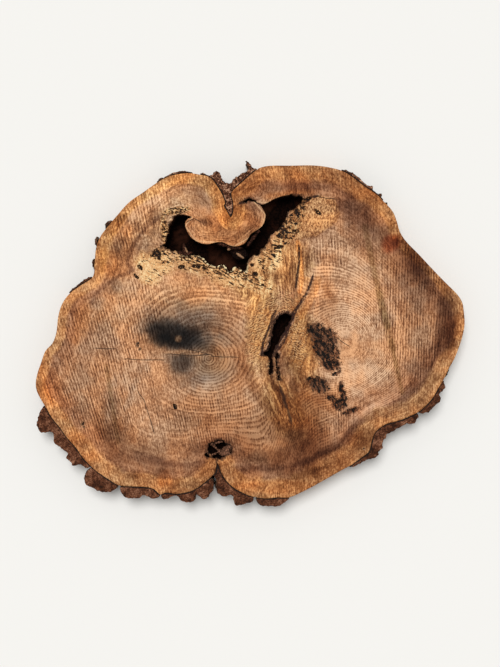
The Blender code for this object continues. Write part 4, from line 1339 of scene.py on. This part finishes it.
def back_material(grain):
    """The back cut face, sawn as the front one is."""
    material, mix, shader, spot = new_material("back_end_grain", 0.65)
    looks = mix.group(grain, ("Place", spot), ("Along", 0.55))
    lengths = []
    for x, y, _ in PITHS[:2]:
        pith = (x * MM, y * MM, 0)
        away = mix.node("VectorMath", (0, spot), (1, pith), operation="SUBTRACT").outputs[0]
        lengths.append(mix.node("VectorMath", (0, away), operation="LENGTH").outputs["Value"])
    ring = mix.times(mix.math("MINIMUM", *lengths), 120)
    rings = mix.math("FRACT", mix.add(ring, mix.times(mix.noise(spot, 60, 2.0), 3.0)))
    lines, even = saw_lines(mix, spot)
    saw = mix.times(mix.add(lines, mix.times(even, 0.13)), 0.6)
    fine = mix.times(looks.outputs["Grain"], 0.5)
    level = mix.add(mix.times(rings, 0.3), mix.add(saw, fine))
    colour = mix.blend(level, (0.12, 0.062, 0.032), (0.5, 0.29, 0.17))
    mottled = mix.step(looks.outputs["Mottle"], 0.5, 0.7, 0.0, 0.5)
    mix.paint(shader, mix.blend(mottled, colour, (0.2, 0.12, 0.075)), level, 0.4)
    return material


def bark_material(grain):
    """Bark: reddish brown and layered where it is cut, grey in the furrows outside, with painted
    shade in the gap along the wood.
    """
    material, mix, shader, spot = new_material("rough_bark", 0.86, 0.12)
    looks = mix.group(grain, ("Place", spot), ("Along", 1.0))
    depth, flaky = mix.attribute("depth"), mix.attribute("flaky")
    facing = mix.axis(mix.node("NewGeometry").outputs["Normal"], "Z")
    layer = mix.add(depth, mix.times(mix.noise(spot, 16, 3.0), 16.0))
    layers = mix.math("SINE", mix.times(layer, 1.7))
    flecks = mix.noise(spot, 6.5, 5.0, 0.78)
    crevice = mix.math("ABSOLUTE", mix.less(mix.noise(spot, 13, 3.0, 0.6, (1, 1, 2)), 0.5))
    crevice = mix.step(crevice, 0.0, 0.04, 0.5, 0.0)
    flaking = mix.math("MAXIMUM", flaky, 0.0)
    flecked = mix.times(mix.less(flecks, 0.5), mix.add(2.0, mix.times(flaking, 4.0)))
    shade = mix.add(mix.times(layers, 0.12), flecked)
    shade = mix.add(shade, mix.times(mix.less(looks.outputs["Grain"], 0.5), 0.35))
    shade = mix.add(shade, mix.sway(spot, 22, 1.5, 3.0))
    shade = mix.add(mix.less(shade, crevice), mix.add(0.46, mix.times(flaky, 0.08)))
    cut_colour = mix.ramp(shade, *CUT_BARK)
    flake_edge = mix.weigh(mix.times(flaking, 0.8), (shade, 0.75, 1.15))
    cut_colour = mix.blend(flake_edge, cut_colour, (0.58, 0.34, 0.21))
    furrow = mix.noise(spot, 9, 4.0, 0.65, (1, 1, 4))
    outside = mix.blend(mix.step(furrow, 0.3, 0.7), (0.03, 0.016, 0.01), (0.17, 0.1, 0.066))
    grey = mix.step(mix.noise(spot, 30, 3.0), 0.55, 0.72, 0.0, 0.6)
    outside = mix.blend(grey, outside, (0.16, 0.13, 0.1))
    colour = mix.blend(mix.step(facing, 0.45, 0.8), outside, cut_colour)
    # A near-black strip along the bark's inner edge: painted shade in the gap between bark and
    # wood.
    shaded_gap_edge = mix.add(depth, mix.sway(spot, 14, -8.0, 3.0))
    colour = mix.blend(mix.step(shaded_gap_edge, 2.2, 5.0, 0.95, 0.0), colour, (0.012, 0.008, 0.007))
    mix.paint(shader, colour, mix.add(flecks, furrow), 1.2)
    return material


# The room

def make_room():
    """A pale floor, soft light from the top of the photo, and the camera straight above."""
    bpy.ops.object.select_all(action="DESELECT")
    bpy.ops.mesh.primitive_grid_add(
        x_subdivisions=4, y_subdivisions=4, size=FLOOR_SIZE, location=(0, 0, 0),
    )
    floor = bpy.context.object
    floor.name = "floor"
    floor.select_set(False)
    material, mix, shader, spot = new_material("pale_floor", 0.9, 0.1)
    mix.put(shader.inputs["Base Color"], (0.86, 0.85, 0.82))
    floor.data.materials.append(material)
    world = bpy.data.worlds.new("soft_room")
    bpy.context.scene.world = world
    world.use_nodes = True
    world.node_tree.nodes["Background"].inputs["Color"].default_value = (1, 0.995, 0.985, 1)
    world.node_tree.nodes["Background"].inputs["Strength"].default_value = WORLD_LIGHT
    light = bpy.data.lights.new("key", "SUN")
    light.angle = math.radians(KEY_SOFTNESS)
    light.energy = KEY_LIGHT
    lamp = bpy.data.objects.new("key", light)
    lamp.rotation_euler = (-Vector(KEY_FROM)).to_track_quat("-Z", "Y").to_euler()
    bpy.context.scene.collection.objects.link(lamp)
    data = bpy.data.cameras.new("camera")
    data.sensor_width = SENSOR
    data.lens = SENSOR * CAMERA_HEIGHT / (PHOTO_HEIGHT * MM_PER_PIXEL)
    camera = bpy.data.objects.new("camera", data)
    camera.location = (0, 0, (TOP + CAMERA_HEIGHT) * MM)
    bpy.context.scene.collection.objects.link(camera)
    bpy.context.scene.camera = camera
    bpy.context.scene.view_settings.view_transform = "Standard"


def dress(piece, material):
    """Gives a new piece its finish and lets it ride with the slice."""
    piece.data.materials.append(material)
    smooth(piece, 50)
    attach(piece, "root")


def main():
    make_room()
    grain = grain_group()
    piece, corners, outline_tree, rim_tree, slot_tree = make_slice()
    shape_slice(piece, corners, outline_tree, rim_tree, slot_tree)
    side = side_material(grain)
    face_materials(
        piece, outline_tree, rim_tree,
        sawn_material(grain), side, hollow_material(grain), back_material(grain),
    )
    smooth(piece, 38)
    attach(piece, "root")
    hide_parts("wood")
    bark = bark_material(grain)
    for node in sorted(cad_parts):
        if node != "wood":
            stretch = make_bark(node, outline_tree)
            dress(stretch, bark)
            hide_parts(node)
    bits = make_lumps("bark_bits", BARK_BITS, 2, 2.5)
    give(bits, "depth", distances(coordinates(bits)[:, :2], outline_tree))
    give(bits, "flaky", np.full(len(bits.data.vertices), -0.8))
    dress(bits, bark)
    crumbling = crumbling_material(grain, "crumbling_wood", (0.13, 0.06, 0.035))
    # A darker copy of the crumbling wood for the ledges under the hollow's edges: painted shade.
    shaded_crumbling = crumbling_material(grain, "shaded_crumbling_wood", (0.045, 0.017, 0.01))
    dress(make_lumps("pocket_crumbs", POCKET_CRUMBS, 1.3, 2.2), crumbling)
    dress(make_lumps("hollow_ledges", LEDGES, 1.6, 3.2), shaded_crumbling)
    dress(make_lumps("pale_chips", CHIPS, 1.0, 0.8), side)


main()
